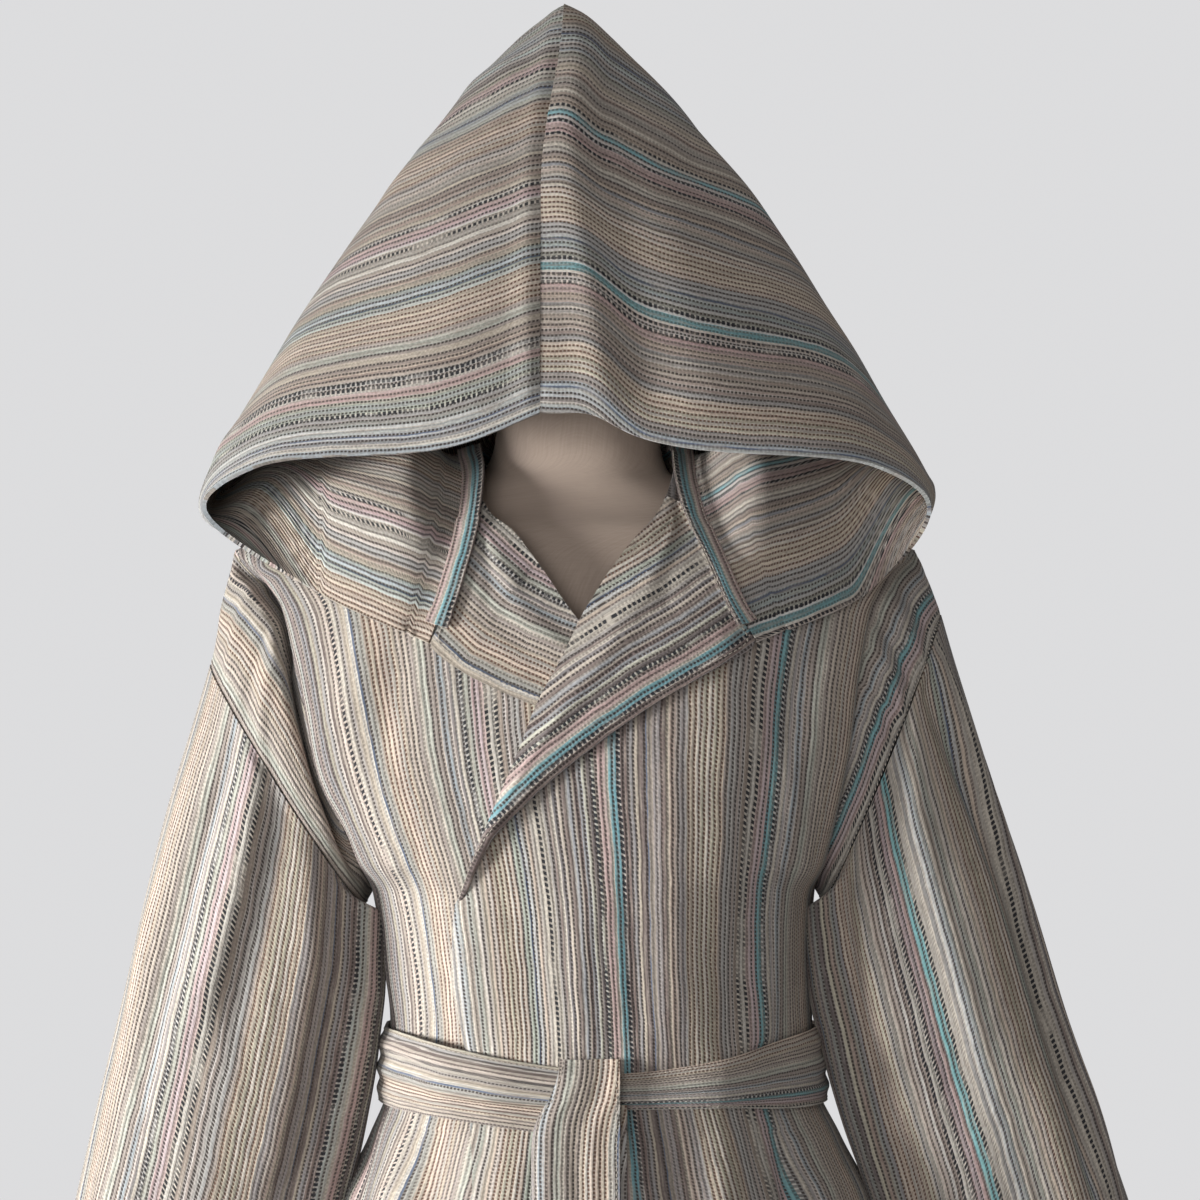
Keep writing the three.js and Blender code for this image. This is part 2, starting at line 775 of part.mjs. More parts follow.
// A closed solid through level rings, each a row of height, half width, front and back depth.
function ringSolid(rows, middleY, count, power) {
  const positions = [];
  const index = [];
  rows.forEach((row) =>
    steps(count - 1).forEach((_, i) => {
      const angle = (2 * Math.PI * i) / count;
      const c = Math.sign(Math.cos(angle)) * Math.abs(Math.cos(angle)) ** power;
      const s = Math.sign(Math.sin(angle)) * Math.abs(Math.sin(angle)) ** power;
      const depth = s < 0 ? row.front : row.back;
      positions.push(row.shift + row.half * c, middleY + depth * s, row.z);
    }),
  );
  const ring = (k, i) => k * count + (i % count);
  for (let k = 0; k < rows.length - 1; k++)
    for (let i = 0; i < count; i++) {
      index.push(ring(k, i), ring(k, i + 1), ring(k + 1, i + 1));
      index.push(ring(k, i), ring(k + 1, i + 1), ring(k + 1, i));
    }
  [0, rows.length - 1].forEach((k, end) => {
    positions.push(rows[k].shift, middleY, rows[k].z);
    const centre = positions.length / 3 - 1;
    for (let i = 0; i < count; i++)
      index.push(centre, ring(k, end ? i : i + 1), ring(k, end ? i + 1 : i));
  });
  return outward(positions, index);
}

// The stand's round pieces.
function turned(profile, segments) {
  return new THREE.LatheGeometry(
    profile.map(([radius, z]) => new THREE.Vector2(radius, z)),
    segments,
  ).rotateX(Math.PI / 2);
}

// The wooden cap on the form's neck.
function formCap() {
  const radius = NECK_TOP_HALF - 8;
  const profile = [
    [0, 0],
    [radius, 0],
    [radius, 6],
    [radius - 16, 14],
    [0, 17],
  ];
  return turned(profile, 28).translate(NECK_X, SIDE_Y - 2, NECK_TOP_Z + MEET);
}

function standPole() {
  const bottom = FOOT_TOP + MEET;
  const top = FORM_Z - MEET;
  const profile = [
    [0, bottom],
    [POLE_R, bottom],
    [POLE_R, top],
    [0, top],
  ];
  return turned(profile, 20);
}

function standFoot() {
  const profile = [
    [0, 0],
    [FOOT_R, 0],
    [FOOT_R, FOOT_TOP / 2],
    [FOOT_R - 6, FOOT_TOP - 3],
    [40, FOOT_TOP],
    [0, FOOT_TOP],
  ];
  return turned(profile, 48);
}

add("back_panel", backPanel(LEFT_FRONT, 18), "cotton");
add("front_left", frontPanel(LEFT_FRONT, 1, leftRise, 9), "cotton");
add("front_right", frontPanel(RIGHT_FRONT, -1, () => 0, 9), "cotton");
add("lapel_left", lapel(LEFT_LAPEL, leftRise, LEFT_ROLL, 6), "cotton");
add("lapel_right", lapel(RIGHT_LAPEL, () => 0, RIGHT_ROLL, 6), "cotton");
add("armhole_band_left", armholeBand(LEFT_SLEEVE, 1), "cotton");
add("armhole_band_right", armholeBand(RIGHT_SLEEVE, -1), "cotton");
add("sleeve_left", sleeve(LEFT_SLEEVE), "cotton");
add("sleeve_right", sleeve(RIGHT_SLEEVE), "cotton");
add("hood_left", hoodHalf(1, 14, 18), "cotton");
add("hood_right", hoodHalf(-1, 14, 18), "cotton");
add("neck_tape", neckTape(30), "tape");
add("belt_wrap", beltWrap(36), "belt");
add("belt_tail_over", beltTail(1056, TAIL_Z, -8, 21, 33, 14), "belt");
add("belt_tail_under", beltTail(1046, TAIL_Z + 30, -2, 18, 30, 10), "belt");
add("form_torso", ringSolid(FORM, SIDE_Y, 28, 0.88), "linen");
add("form_cap", formCap(), "wood");
add("stand_pole", standPole(), "steel");
add("stand_foot", standFoot(), "steel");

export default robe;
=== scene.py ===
"""A hooded bathrobe of striped woven cotton on a linen-covered dress form.

Shapes are worked out in millimetres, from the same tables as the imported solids, and every
mesh is made in metres. The robe faces -Y, and left and right are the wearer's, so the left
side is +X. Each cloth piece is a thin closed shell whose map holds metres of cloth: U across
the stripes and V along them.
"""

import math

import bpy
import numpy as np
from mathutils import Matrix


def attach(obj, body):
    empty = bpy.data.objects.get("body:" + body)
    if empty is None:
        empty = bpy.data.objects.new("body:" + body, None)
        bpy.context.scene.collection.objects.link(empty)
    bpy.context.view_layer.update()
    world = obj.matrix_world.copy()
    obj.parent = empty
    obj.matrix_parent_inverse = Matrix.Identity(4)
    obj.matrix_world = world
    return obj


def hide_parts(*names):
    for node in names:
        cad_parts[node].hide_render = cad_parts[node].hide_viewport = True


MM = 0.001

# ---- driving dimensions (mm)
CLOTH = 2.0
HEM = 1.3  # more at a turned edge, where the cloth is folded
HEM_WIDTH = 9.0
TAPE = 1.6
GAP = 0.4
SIDE_Y = 6.0
NECK_HALF = 82.0
NECK_Z = 1548.0
TIP_HALF = 272.0
TIP_Z = 1473.0
SHOULDER_ROUND = 110.0
SHOULDER_FOOT = 1320.0
UNDERARM_Z = 1203.0
WAIST_Z = 1050.0
NAPE_DIP = 20.0
LAP_RISE = 10.0
LAPEL_RISE = 4.5
ROLL_RISE = 2.9
LEFT_ROLL = 5.0
RIGHT_ROLL = 1.5
NECK_RISE = 4.5
NECK_GAP = 2.0
TAPE_RISE = 4.4
NAPE_RISE = 2.0
TAPE_HALF = 9.0
TAPE_END = 0.017  # share of the tape's line left bare at each end, over the lapel's hem
HOOD_CLEAR = 5.0
HOOD_X = -18.0
EDGE_ARCH = 9.0  # how far the front edge arches beside the seam, on the left half
FLAP_LIFT = 54.0  # how far the hood's lower side stands up behind its front edge
BELT_RISE = 5.0
BELT_HALF = 29.0
TAIL_Z = 700.0
FORM_Z = 800.0
NECK_TOP_Z = 1632.0
NECK_TOP_HALF = 62.0
NECK_X = -10.0
POLE_R = 16.0
FOOT_R = 190.0
FOOT_TOP = 12.0
MEET = 0.3
SEAM_OPEN = 0.3  # between an armhole's edge and the middle of its band's cloth
FACE_POWER = 2.5  # how square the body, the form and the sleeves are
TORSO_POWER = 0.88
SLEEVE_POWER = 0.9
STITCH = 3.0  # one stitch of a seam
STITCH_GAP = 1.6
THREAD = 0.35  # half its thickness
SUNK = 0.1  # how far a stitch's middle is off the cloth's face
WAY = {"left": 1, "right": -1}  # the way out from the middle
# Rows and columns of the grids of points
BACK_GRID = (190, 150)
FRONT_GRID = (190, 90)
LAPEL_GRID = (90, 60)
SLEEVE_GRID = (120, 132)
BAND_GRID = (40, 144)
HOOD_GRID = (120, 150)
TAPE_GRID = (260, 13)
BELT_GRID = (420, 30)
TAIL_GRID = (140, 36)

# The camera, level with the robe's chest
CAMERA = (8.0, -3000.0, 1434.0)
LENS = 112.5
SENSOR = 36.0


def table(columns, rows):
    """Named columns, each an array."""
    return dict(zip(columns.split(), np.array(rows, float).T))


BODY = table("z half shift front back hole", [
    (1548, 272, -12, 72, 78, 0), (1473, 272, -12, 98, 92, 0), (1458, 252, -11, 103, 94, 36),
    (1430, 232, -10, 112, 97, 58), (1380, 219, -9, 122, 103, 72), (1320, 209, -7, 129, 107, 76),
    (1270, 196, -3, 130, 106, 68), (1230, 184, 1, 128, 103, 46), (1203, 176, 3, 126, 101, 0),
    (1150, 170, 6, 121, 96, 0), (1100, 168, 9, 115, 92, 0), (1050, 170, 10, 112, 90, 0),
    (1005, 188, 12, 124, 102, 0), (954, 212, 13, 140, 118, 0), (850, 231, 13, 152, 132, 0),
    (600, 256, 13, 168, 150, 0), (320, 272, 13, 180, 165, 0),
])
FORM = table("z half front back shift", [
    (FORM_Z, 138, 96, 104, 8), (870, 160, 112, 112, 10), (950, 156, 108, 98, 10),
    (1010, 140, 98, 91.6, 10), (1060, 126, 90, 78, 10), (1120, 132, 96, 82, 8),
    (1200, 148, 112, 90, 3), (1280, 160, 122, 95, -2), (1350, 168, 117, 94, -8),
    (1420, 176, 104, 88, -10), (1465, 178, 88, 78, -11), (1490, 168, 76, 66, -12),
    (1507, 142, 60, 48, -12), (1522, 103, 53, 41, -12), (1538, 73, 51, 41, -11),
    (1560, 66, 54, 46, -10), (1600, 62, 56, 50, NECK_X),
    (NECK_TOP_Z, NECK_TOP_HALF, 58, 52, NECK_X),
])
LEFT_FRONT = table("side x z", [
    (1473, 70, 1548), (1465, 66, 1535), (1456, 61, 1519), (1441, 50, 1497), (1425, 32, 1476),
    (1403, 13, 1449), (1380, -5, 1421), (1350, -21, 1388), (1320, -39, 1355), (1295, -53, 1320),
    (1270, -66, 1288), (1250, -79, 1256), (1230, -88, 1230), (1203, -96, 1203), (1150, -98, 1150),
    (1100, -91, 1100), (1050, -88, 1050), (1028, -88, 1028), (1005, -87, 1005), (954, -86, 954),
    (850, -85, 850), (600, -83, 600), (320, -80, 320),
])
RIGHT_FRONT = table("side x z", [
    (1473, -94, 1548), (1465, -92, 1535), (1456, -88, 1519), (1441, -76, 1499), (1425, -59, 1486),
    (1403, -44, 1467), (1380, -18, 1430), (1350, 5, 1401), (1320, 30, 1368), (1295, 56, 1333),
    (1270, 84, 1296), (1250, 88, 1262), (1230, 90, 1232), (1203, 93, 1203), (1150, 95, 1150),
    (1100, 91, 1100), (1050, 88, 1050), (1028, 88, 1028), (1005, 87, 1005), (954, 86, 954),
    (850, 85, 850), (600, 83, 600), (320, 80, 320),
])
LEFT_LAPEL = table("x z outer_x outer_z", [
    (-96, 1200, -95.2, 1200), (-89, 1228, -86.5, 1227), (-79, 1256, -74, 1252),
    (-66, 1288, -46, 1281), (-53, 1320, -20, 1304), (-39, 1355, 16, 1331), (-21, 1388, 55, 1357),
    (-5, 1421, 94, 1379), (6, 1438, 125, 1400), (13, 1449, 113, 1418), (32, 1476, 98, 1445),
    (50, 1497, 86, 1474), (59, 1513, 75, 1504),
])
RIGHT_LAPEL = table("x z outer_x outer_z", [
    (84, 1296, 79, 1292), (56, 1333, 50, 1312), (30, 1368, 8, 1332), (5, 1401, -30, 1348),
    (-18, 1430, -67, 1363), (-31, 1449, -100, 1380), (-38, 1459, -121, 1399),
    (-44, 1467, -114, 1416), (-59, 1486, -104, 1446), (-76, 1499, -94, 1477),
    (-84, 1512, -89, 1504),
])
NECK = table("half middle z", [
    (123, 2, 1399), (102, -3, 1443), (90, -5, 1477), (83, -7, 1506), (80, -9, 1530),
    (82, -12, 1548), (75, -12, 1544), (54, -12, 1534), (28, -12, 1529), (0, -12, 1528),
])
BEHIND = 0.555  # share of the neck seam after which it is behind the shoulder line
HOOD_SEAM = table("y z", [
    (-128, 1577), (-120, 1640), (-106, 1708), (-86, 1778), (-58, 1848), (-18, 1908), (48, 1850),
    (100, 1748), (134, 1640), (146, 1570),
])
HOOD_FACE = table("x y z", [
    (90, -126, 1551), (100, -116, 1622), (84, -98, 1692), (62, -78, 1766), (42, -50, 1838),
    (44, -4, 1878), (52, 56, 1808), (50, 104, 1708), (34, 136, 1612), (0, 145, 1555),
])
HOOD_SIDE = table("x y z", [
    (240, -102, 1537), (222, -70, 1600), (186, -50, 1668), (146, -34, 1742), (104, -20, 1808),
    (116, 14, 1790), (128, 66, 1700), (112, 112, 1622), (70, 138, 1566), (0, 143, 1535),
])
HOOD_ROLL = table("x y z", [
    (283, -74, 1506), (290, -40, 1502), (290, -10, 1499), (286, 14, 1497), (278, 34, 1495),
    (262, 58, 1494), (230, 88, 1492), (180, 116, 1493), (108, 138, 1500), (0, 134, 1512),
])
HOOD_REST = table("x drop", [
    (200, 56), (205, 32), (210, 15), (208, 6), (200, 2), (185, 0), (155, 10), (110, 26), (60, 48),
    (0, 68),
])
LEFT_SLEEVE = table("out_x out_z in_x in_z half", [
    (280, 1422, 188, 1194, 74), (294, 1376, 188, 1168, 75), (318, 1300, 192, 1128, 75),
    (345, 1215, 202, 1080, 74), (374, 1120, 216, 1020, 72), (404, 1025, 235, 960, 71),
    (433, 935, 248, 897, 70), (452, 876, 257, 850, 70),
])
RIGHT_SLEEVE = table("out_x out_z in_x in_z half", [
    (-303, 1382, -182, 1190, 74), (-314, 1344, -181, 1166, 75), (-332, 1284, -181, 1128, 75),
    (-352, 1206, -187, 1080, 74), (-374, 1116, -198, 1020, 72), (-396, 1024, -211, 960, 71),
    (-417, 935, -225, 897, 70), (-430, 876, -233, 850, 70),
])

# The left half's front edge droops further out over its shoulder
LEFT_HOOD_REST = dict(
    HOOD_REST,
    x=HOOD_REST["x"] + np.array([34, 16, 4, 0, 0, 0, 0, 0, 0, 0]),
    drop=HOOD_REST["drop"] + np.array([-7, 1, 1, 0, 0, 0, 0, 0, 0, 0]),
)

# ---- numbers and tables


def lerp(a, b, t):
    return a + (b - a) * t


def smooth(low, high, value):
    t = np.clip((value - low) / (high - low), 0, 1)
    return t * t * (3 - 2 * t)


def along(rows, key, at, column):
    """A column of a table at places between its rows, smoothly and with no overshoot."""
    xs, ys = rows[key], rows[column]
    if xs[0] > xs[-1]:
        xs, ys = xs[::-1], ys[::-1]
    slopes = np.diff(ys) / np.diff(xs)
    before, after = slopes[:-1], slopes[1:]
    total = np.where(before + after == 0, 1, before + after)
    inner = np.where(before * after <= 0, 0, 2 * before * after / total)
    tangents = np.concatenate([slopes[:1], inner, slopes[-1:]])
    at = np.clip(at, xs[0], xs[-1])
    i = np.clip(np.searchsorted(xs, at, side="right") - 1, 0, len(slopes) - 1)
    step = xs[i + 1] - xs[i]
    t = (at - xs[i]) / step
    straight = lerp(ys[i], ys[i + 1], t * t * (3 - 2 * t))
    return straight + t * (1 - t) * step * ((1 - t) * tangents[i] - t * tangents[i + 1])


def row_at(rows, fraction):
    """Each column at fractions of the table's length."""
    count = len(next(iter(rows.values())))
    numbered = dict(rows, i=np.arange(count, dtype=float))
    place = np.clip(fraction, 0, 1) * (count - 1)
    return {name: along(numbered, "i", place, name) for name in rows}


def bell(value, at, width):
    """A soft bump, 1 at its middle."""
    return np.exp(-(((value - at) / width) ** 2))


def squarer(value, power):
    """A sine or cosine made fuller, with its sign kept."""
    return np.sign(value) * np.abs(value) ** power


def point(x, y, z):
    return np.stack(np.broadcast_arrays(x, y, z), axis=-1).astype(float)


def distance(a, b):
    return np.linalg.norm(a - b, axis=-1)


def run_of(line):
    """Length along a line to each of its points."""
    return np.concatenate([[0], np.cumsum(distance(line[1:], line[:-1]))])


def at_length(at, length, line):
    """Points of a line, at lengths along it."""
    return np.stack([np.interp(at, length, line[:, k]) for k in range(line.shape[1])], axis=-1)


def wrapped(values):
    """Values round a tube, with the first column again at the end."""
    return np.concatenate([values, values[:, :1]], axis=1)


def unit(v):
    return v / np.maximum(np.linalg.norm(v, axis=-1, keepdims=True), 1e-9)


# ---- the body's surface


def body_at(z):
    return {name: along(BODY, "z", z, name) for name in BODY if name != "z"}


def shoulder_z(x):
    fall = (NECK_Z - TIP_Z) / (TIP_HALF - NECK_HALF)
    return NECK_Z - fall * (np.abs(x - BODY["shift"][0]) - NECK_HALF)


def rounding(x, z):
    below = np.clip((shoulder_z(x) - z) / SHOULDER_ROUND, 0, 1)
    return np.sqrt(1 - (1 - below) ** 2)


def hole_depth(z):
    body = body_at(z)
    return body["hole"] * rounding(body["shift"] + body["half"], z)


def body_y(x, z, side):
    body = body_at(z)
    across = np.clip(np.abs(x - body["shift"]) / body["half"], 0, 1)
    full = np.sqrt(1 - across**FACE_POWER)
    depth = np.where(side < 0, body["front"] + SIDE_Y, body["back"] - SIDE_Y)
    return SIDE_Y + side * (body["hole"] + (depth - body["hole"]) * full) * rounding(x, z)


def body_point(x, z, side, out):
    """A point of the body, moved out along its normal."""
    h = 0.5
    slope_x = (body_y(x + h, z, side) - body_y(x - h, z, side)) / (2 * h)
    slope_z = (body_y(x, z + h, side) - body_y(x, z - h, side)) / (2 * h)
    normal = unit(point(-side * slope_x, side, -side * slope_z))
    return point(x, body_y(x, z, side), z) + normal * np.asarray(out, float)[..., None]


def rest_z(x, y):
    """Height of the shoulders' upper side."""
    side = np.where(y < SIDE_Y, -1, 1)
    low = np.full(np.shape(x), 1300.0)
    high = shoulder_z(x)
    for _ in range(24):
        z = (low + high) / 2
        inside = np.abs(body_y(x, z, side) - SIDE_Y) > np.abs(y - SIDE_Y)
        low = np.where(inside, z, low)
        high = np.where(inside, high, z)
    return high


def left_rise(x, z):
    """How far the left front stands off the body, over the right one."""
    return LAP_RISE * (1 - smooth(95, 150, x)) * (1 - smooth(1440, 1505, z))


def clear_of(points, clear, way):
    """Points moved just clear of the shoulders."""
    x, y, z = points[..., 0], points[..., 1], points[..., 2]
    side = np.where(y < SIDE_Y, -1, 1)
    gap = clear + np.where((way > 0) & (side < 0), left_rise(x, z), 0)
    top = rest_z(x, y) + gap * 1.4
    line = shoulder_z(x)
    above = z >= top
    free = (z < SHOULDER_FOOT) | (above & (z > line - 20))
    skin = body_point(x, np.minimum(z, line - 1), side, gap * 1.3)[..., 1]
    inside = side * (skin - y)
    up = ~free & ~above & (top - z < np.abs(inside))
    aside = ~free & ~up & (inside > 0)
    return point(x, np.where(aside, skin, y), np.where(up, top, z))


def through(points, at):
    """A smooth line through a few points, at fractions of its length."""
    points = np.array(points, float)
    ends = (2 * points[0] - points[1], 2 * points[-1] - points[-2])
    padded = np.vstack([ends[0], points, ends[1]])
    fine = []
    for k in range(len(points) - 1):
        p0, p1, p2, p3 = padded[k : k + 4]
        d0, d1, d2 = (max(distance(a, b), 1e-6) ** 0.5 for a, b in ((p0, p1), (p1, p2), (p2, p3)))
        m1 = ((p1 - p0) / d0 - (p2 - p0) / (d0 + d1) + (p2 - p1) / d1) * d1
        m2 = ((p2 - p1) / d1 - (p3 - p1) / (d1 + d2) + (p3 - p2) / d2) * d1
        t = np.linspace(0, 1, 60)[: -1 if k < len(points) - 2 else None, None]
        fine.append(
            p1 + m1 * t + (3 * (p2 - p1) - 2 * m1 - m2) * t**2 + (2 * (p1 - p2) + m1 + m2) * t**3
        )
    fine = np.vstack(fine)
    length = run_of(fine)
    return at_length(np.clip(at, 0, 1) * length[-1], length, fine)


# ---- folds


def fold(a, b, rows):
    """Soft ridges and troughs over a surface with coordinates a and b. Each row has the two ends
    of a fold's line, how far the line bows sideways, its width and its height, below 0 for a
    trough."""
    total = np.zeros(np.broadcast(a, b).shape)
    for a0, b0, a1, b1, bow, width, height in rows:
        run = np.array([a1 - a0, b1 - b0], float)
        length = np.hypot(*run)
        run = run / length
        t = ((a - a0) * run[0] + (b - b0) * run[1]) / length
        bend = bow * 4 * np.clip(t, 0, 1) * (1 - np.clip(t, 0, 1))
        off = (a - a0) * -run[1] + (b - b0) * run[0] - bend
        fade = smooth(-0.12, 0.22, t) * (1 - smooth(0.72, 1.1, t))
        total = total + height * fade * bell(off, 0, width)
    return total


def ripple(a, b, seed, step, height):
    """Low irregular swells, from a few seeded waves."""
    rng = np.random.default_rng(seed)
    total = np.zeros(np.broadcast(a, b).shape)
    for _ in range(7):
        turn = rng.uniform(0, 2 * math.pi)
        wave = step * rng.uniform(0.7, 1.8)
        phase = rng.uniform(0, 2 * math.pi)
        total = total + np.sin((a * math.cos(turn) + b * math.sin(turn)) * 2 * math.pi / wave + phase)
    return height * total / 7


# ---- meshes


def normals_of(grid, closed):
    if closed:
        over = np.roll(grid, -1, axis=1) - np.roll(grid, 1, axis=1)
    else:
        over = np.gradient(grid, axis=1)
    return unit(np.cross(np.gradient(grid, axis=0), over))


def lengths(grid, closed=False):
    """Cloth lengths down and across a grid, from its first row and column."""
    down = np.concatenate([np.zeros((1, grid.shape[1])), np.cumsum(distance(grid[1:], grid[:-1]), 0)])
    if closed:
        grid = wrapped(grid)
    over = distance(grid[:, 1:], grid[:, :-1])
    over = np.concatenate([np.zeros((len(grid), 1)), np.cumsum(over, 1)], axis=1)
    return down, over


def outward(grid, centre, closed=False):
    """Normals that point away from a centre, and whether that is the grid's own way round."""
    normal = normals_of(grid, closed)
    way = 1 if np.sum(normal * (grid - centre)) > 0 else -1
    return normal * way, way


def pressed(grid, amount, centre, closed=False):
    """A grid moved out from its centre by an amount for each point."""
    normal, _ = outward(grid, centre, closed)
    return grid + normal * amount[..., None]


FACES = {}  # each cloth piece's outer face: its points, its normals and whether it is a tube


def shell(name, grid, u, v, centre, closed=False, thick=CLOTH, mitre=()):
    """A closed thin wall either side of a grid of points. u and v are the cloth's own millimetres.
    mitre names edges whose end faces lie in the plane of a seam, with that plane's axis."""
    rows, cols = grid.shape[:2]
    normal, outside = outward(grid, centre, closed)
    places = {"start": np.s_[0, :], "end": np.s_[-1, :], "first": np.s_[:, 0], "last": np.s_[:, -1]}
    for edge, axis in mitre:
        flat = normal[places[edge]]
        flat[..., axis] = 0
        normal[places[edge]] = unit(flat)
    half = (np.broadcast_to(thick, (rows, cols)) / 2)[..., None] * normal
    FACES[name] = (grid + half, normal, closed)
    verts = np.concatenate([(grid + half).reshape(-1, 3), (grid - half).reshape(-1, 3)]) * MM
    across = cols if closed else cols - 1
    i, j = (k.ravel() for k in np.meshgrid(np.arange(rows - 1), np.arange(across), indexing="ij"))
    corners = [(i, j), (i + 1, j), (i + 1, j + 1), (i, j + 1)]
    width = cols + 1 if closed else cols
    uv = np.stack(np.broadcast_arrays(u, v), axis=-1)[:, :width] * MM
    layer = rows * cols

    def ids(side, pairs):
        return np.stack([side * layer + a * cols + b % cols for a, b in pairs], axis=1)

    def places_of(pairs):
        return np.stack([uv[a, b] for a, b in pairs], axis=1)

    turned = corners if outside > 0 else corners[::-1]
    faces = [ids(0, turned), ids(1, turned[::-1])]
    maps = [places_of(turned), places_of(turned[::-1])]
    j = np.arange(across)
    i = np.arange(rows - 1)
    rims = [
        [(np.zeros_like(j), j), (np.zeros_like(j), j + 1)],
        [(np.full_like(j, rows - 1), j + 1), (np.full_like(j, rows - 1), j)],
    ]
    if not closed:
        rims.append([(i + 1, np.zeros_like(i)), (i, np.zeros_like(i))])
        rims.append([(i, np.full_like(i, cols - 1)), (i + 1, np.full_like(i, cols - 1))])
    for a, b in rims:
        quad = [ids(0, [a]), ids(0, [b]), ids(1, [b]), ids(1, [a])]
        place = [places_of([a]), places_of([b]), places_of([b]), places_of([a])]
        step = 1 if outside > 0 else -1
        faces.append(np.concatenate(quad[::step], axis=1))
        maps.append(np.concatenate(place[::step], axis=1))
    return mesh_of(name, verts, np.concatenate(faces), np.concatenate(maps))


def mesh_of(name, verts, quads, maps=None):
    mesh = bpy.data.meshes.new(name)
    mesh.vertices.add(len(verts))
    mesh.vertices.foreach_set("co", np.ascontiguousarray(verts, np.float32).ravel())
    mesh.loops.add(quads.size)
    mesh.loops.foreach_set("vertex_index", quads.ravel().astype(np.int32))
    mesh.polygons.add(len(quads))
    mesh.polygons.foreach_set("loop_start", np.arange(0, quads.size, 4, dtype=np.int32))
    mesh.update(calc_edges=True)
    if maps is not None:
        layer = mesh.uv_layers.new(name="cloth")
        layer.uv.foreach_set("vector", maps.reshape(-1).astype(np.float32))
    mesh.shade_smooth()
    mesh.set_sharp_from_angle(angle=math.radians(60))
    mesh.validate()
    piece = bpy.data.objects.new(name, mesh)
    bpy.context.scene.collection.objects.link(piece)
    return piece


# ---- grids of the cloth pieces


def fractions(count):
    return np.linspace(0, 1, count)


def grid_of(rows, columns):
    """Fractions down and across, for every point of a grid."""
    return np.meshgrid(fractions(rows), fractions(columns), indexing="ij")


REFERENCE_Z = 1300.0  # height at which the panels' cloth is measured across
FACE_SHARE = 0.8  # share of the half width that counts as a panel's face


def across_of(share, side):
    """Cloth millimetres from the middle of a panel, at a share of the body's half width."""
    body = body_at(REFERENCE_Z)
    fine = np.sin(np.linspace(-math.pi / 2, math.pi / 2, 400))
    x = body["shift"] + body["half"] * fine
    line = point(x, body_y(x, np.full_like(x, REFERENCE_Z), side), 0)
    length = run_of(line)
    return np.interp(share, fine, length - length[len(length) // 2])


def round_to_side(share, over, side, way):
    """Cloth across a panel: by share of the width on its face, and by true length from there.
    over is the cloth length from the first column, and way is 1 where shares rise along rows."""
    near = np.clip(share, -FACE_SHARE, FACE_SHARE)
    rows = zip(near, share[:, ::way], over[:, ::way])
    at = np.array([np.interp(*row) for row in rows])
    return across_of(near, side) + way * (over - at)


def front_grid(rows, way, rise, down, columns):
    t, s = grid_of(down, columns)
    row = row_at(rows, t)
    x, z, side_z = row["x"], row["z"], row["side"]
    inner = body_at(z)
    start = np.arcsin(np.clip((x - inner["shift"]) / inner["half"], -1, 1))
    angle = lerp(start, way * math.pi / 2, s)
    height = lerp(z, side_z, s)
    side = body_at(side_z)
    for _ in range(4):
        body = body_at(height)
        place = body["shift"] + body["half"] * np.sin(angle)
        share = (place - x) / (side["shift"] + way * side["half"] - x)
        height = np.minimum(lerp(z, side_z, np.clip(share, 0, 1)), shoulder_z(place))
    grid = body_point(place, height, -1, rise(place, height))
    grid[:, -1] = point(place, SIDE_Y - hole_depth(height), height)[:, -1]
    grid[..., 1] = np.minimum(grid[..., 1], SIDE_Y - GAP / 2)
    return grid, place, height, np.sin(angle)


def back_grid(down, columns):
    t, s = grid_of(down, columns)
    side_z = row_at(LEFT_FRONT, t)["side"]
    flat = 1 - smooth(TIP_Z, 1330, side_z)
    angle = lerp(-math.pi / 2, math.pi / 2, s)
    height = side_z
    for _ in range(4):
        body = body_at(height)
        place = body["shift"] + body["half"] * np.sin(angle)
        across = np.abs(place - BODY["shift"][0]) / NECK_HALF
        dip = NAPE_DIP * np.sqrt(np.clip(1 - across**2, 0, 1))
        line = np.where(across >= 1, shoulder_z(place), NECK_Z - dip)
        height = side_z + flat * (line - TIP_Z)
    grid = body_point(place, height, 1, 0)
    for edge in (0, -1):
        grid[:, edge] = point(place, SIDE_Y + hole_depth(height), height)[:, edge]
    grid[..., 1] = np.maximum(grid[..., 1], SIDE_Y + GAP / 2)
    return grid, place, height, np.sin(angle)


def lapel_grid(rows, rise, bulge, down, columns):
    t, s = grid_of(down, columns)
    row = row_at(rows, t)
    x = lerp(row["x"], row["outer_x"], s)
    z = lerp(row["z"], row["outer_z"], s)
    roll = bulge * np.sin(math.pi * s) * np.sin(math.pi * np.clip(t * 1.2, 0, 1))
    lift = lerp(ROLL_RISE, LAPEL_RISE, smooth(0, 0.3, s))
    return body_point(x, z, -1, rise(x, z) + lift + roll), t, s


def neck_point(t, way, out, aside):
    row = row_at(NECK, t)
    x = row["middle"] + way * row["half"]
    side = np.where(t > BEHIND, 1, -1)
    z = np.minimum(row["z"], shoulder_z(x) - 0.5)
    lap = np.where((way > 0) & (side < 0), left_rise(x, z), 0)
    found = body_point(x, z, side, out + lap)
    across = 1 - smooth(0.6, 1, t)
    move = point(way * aside * across, aside * (1 - across), 0.4 * aside * (1 - smooth(0.3, 0.5, t)))
    return found + move


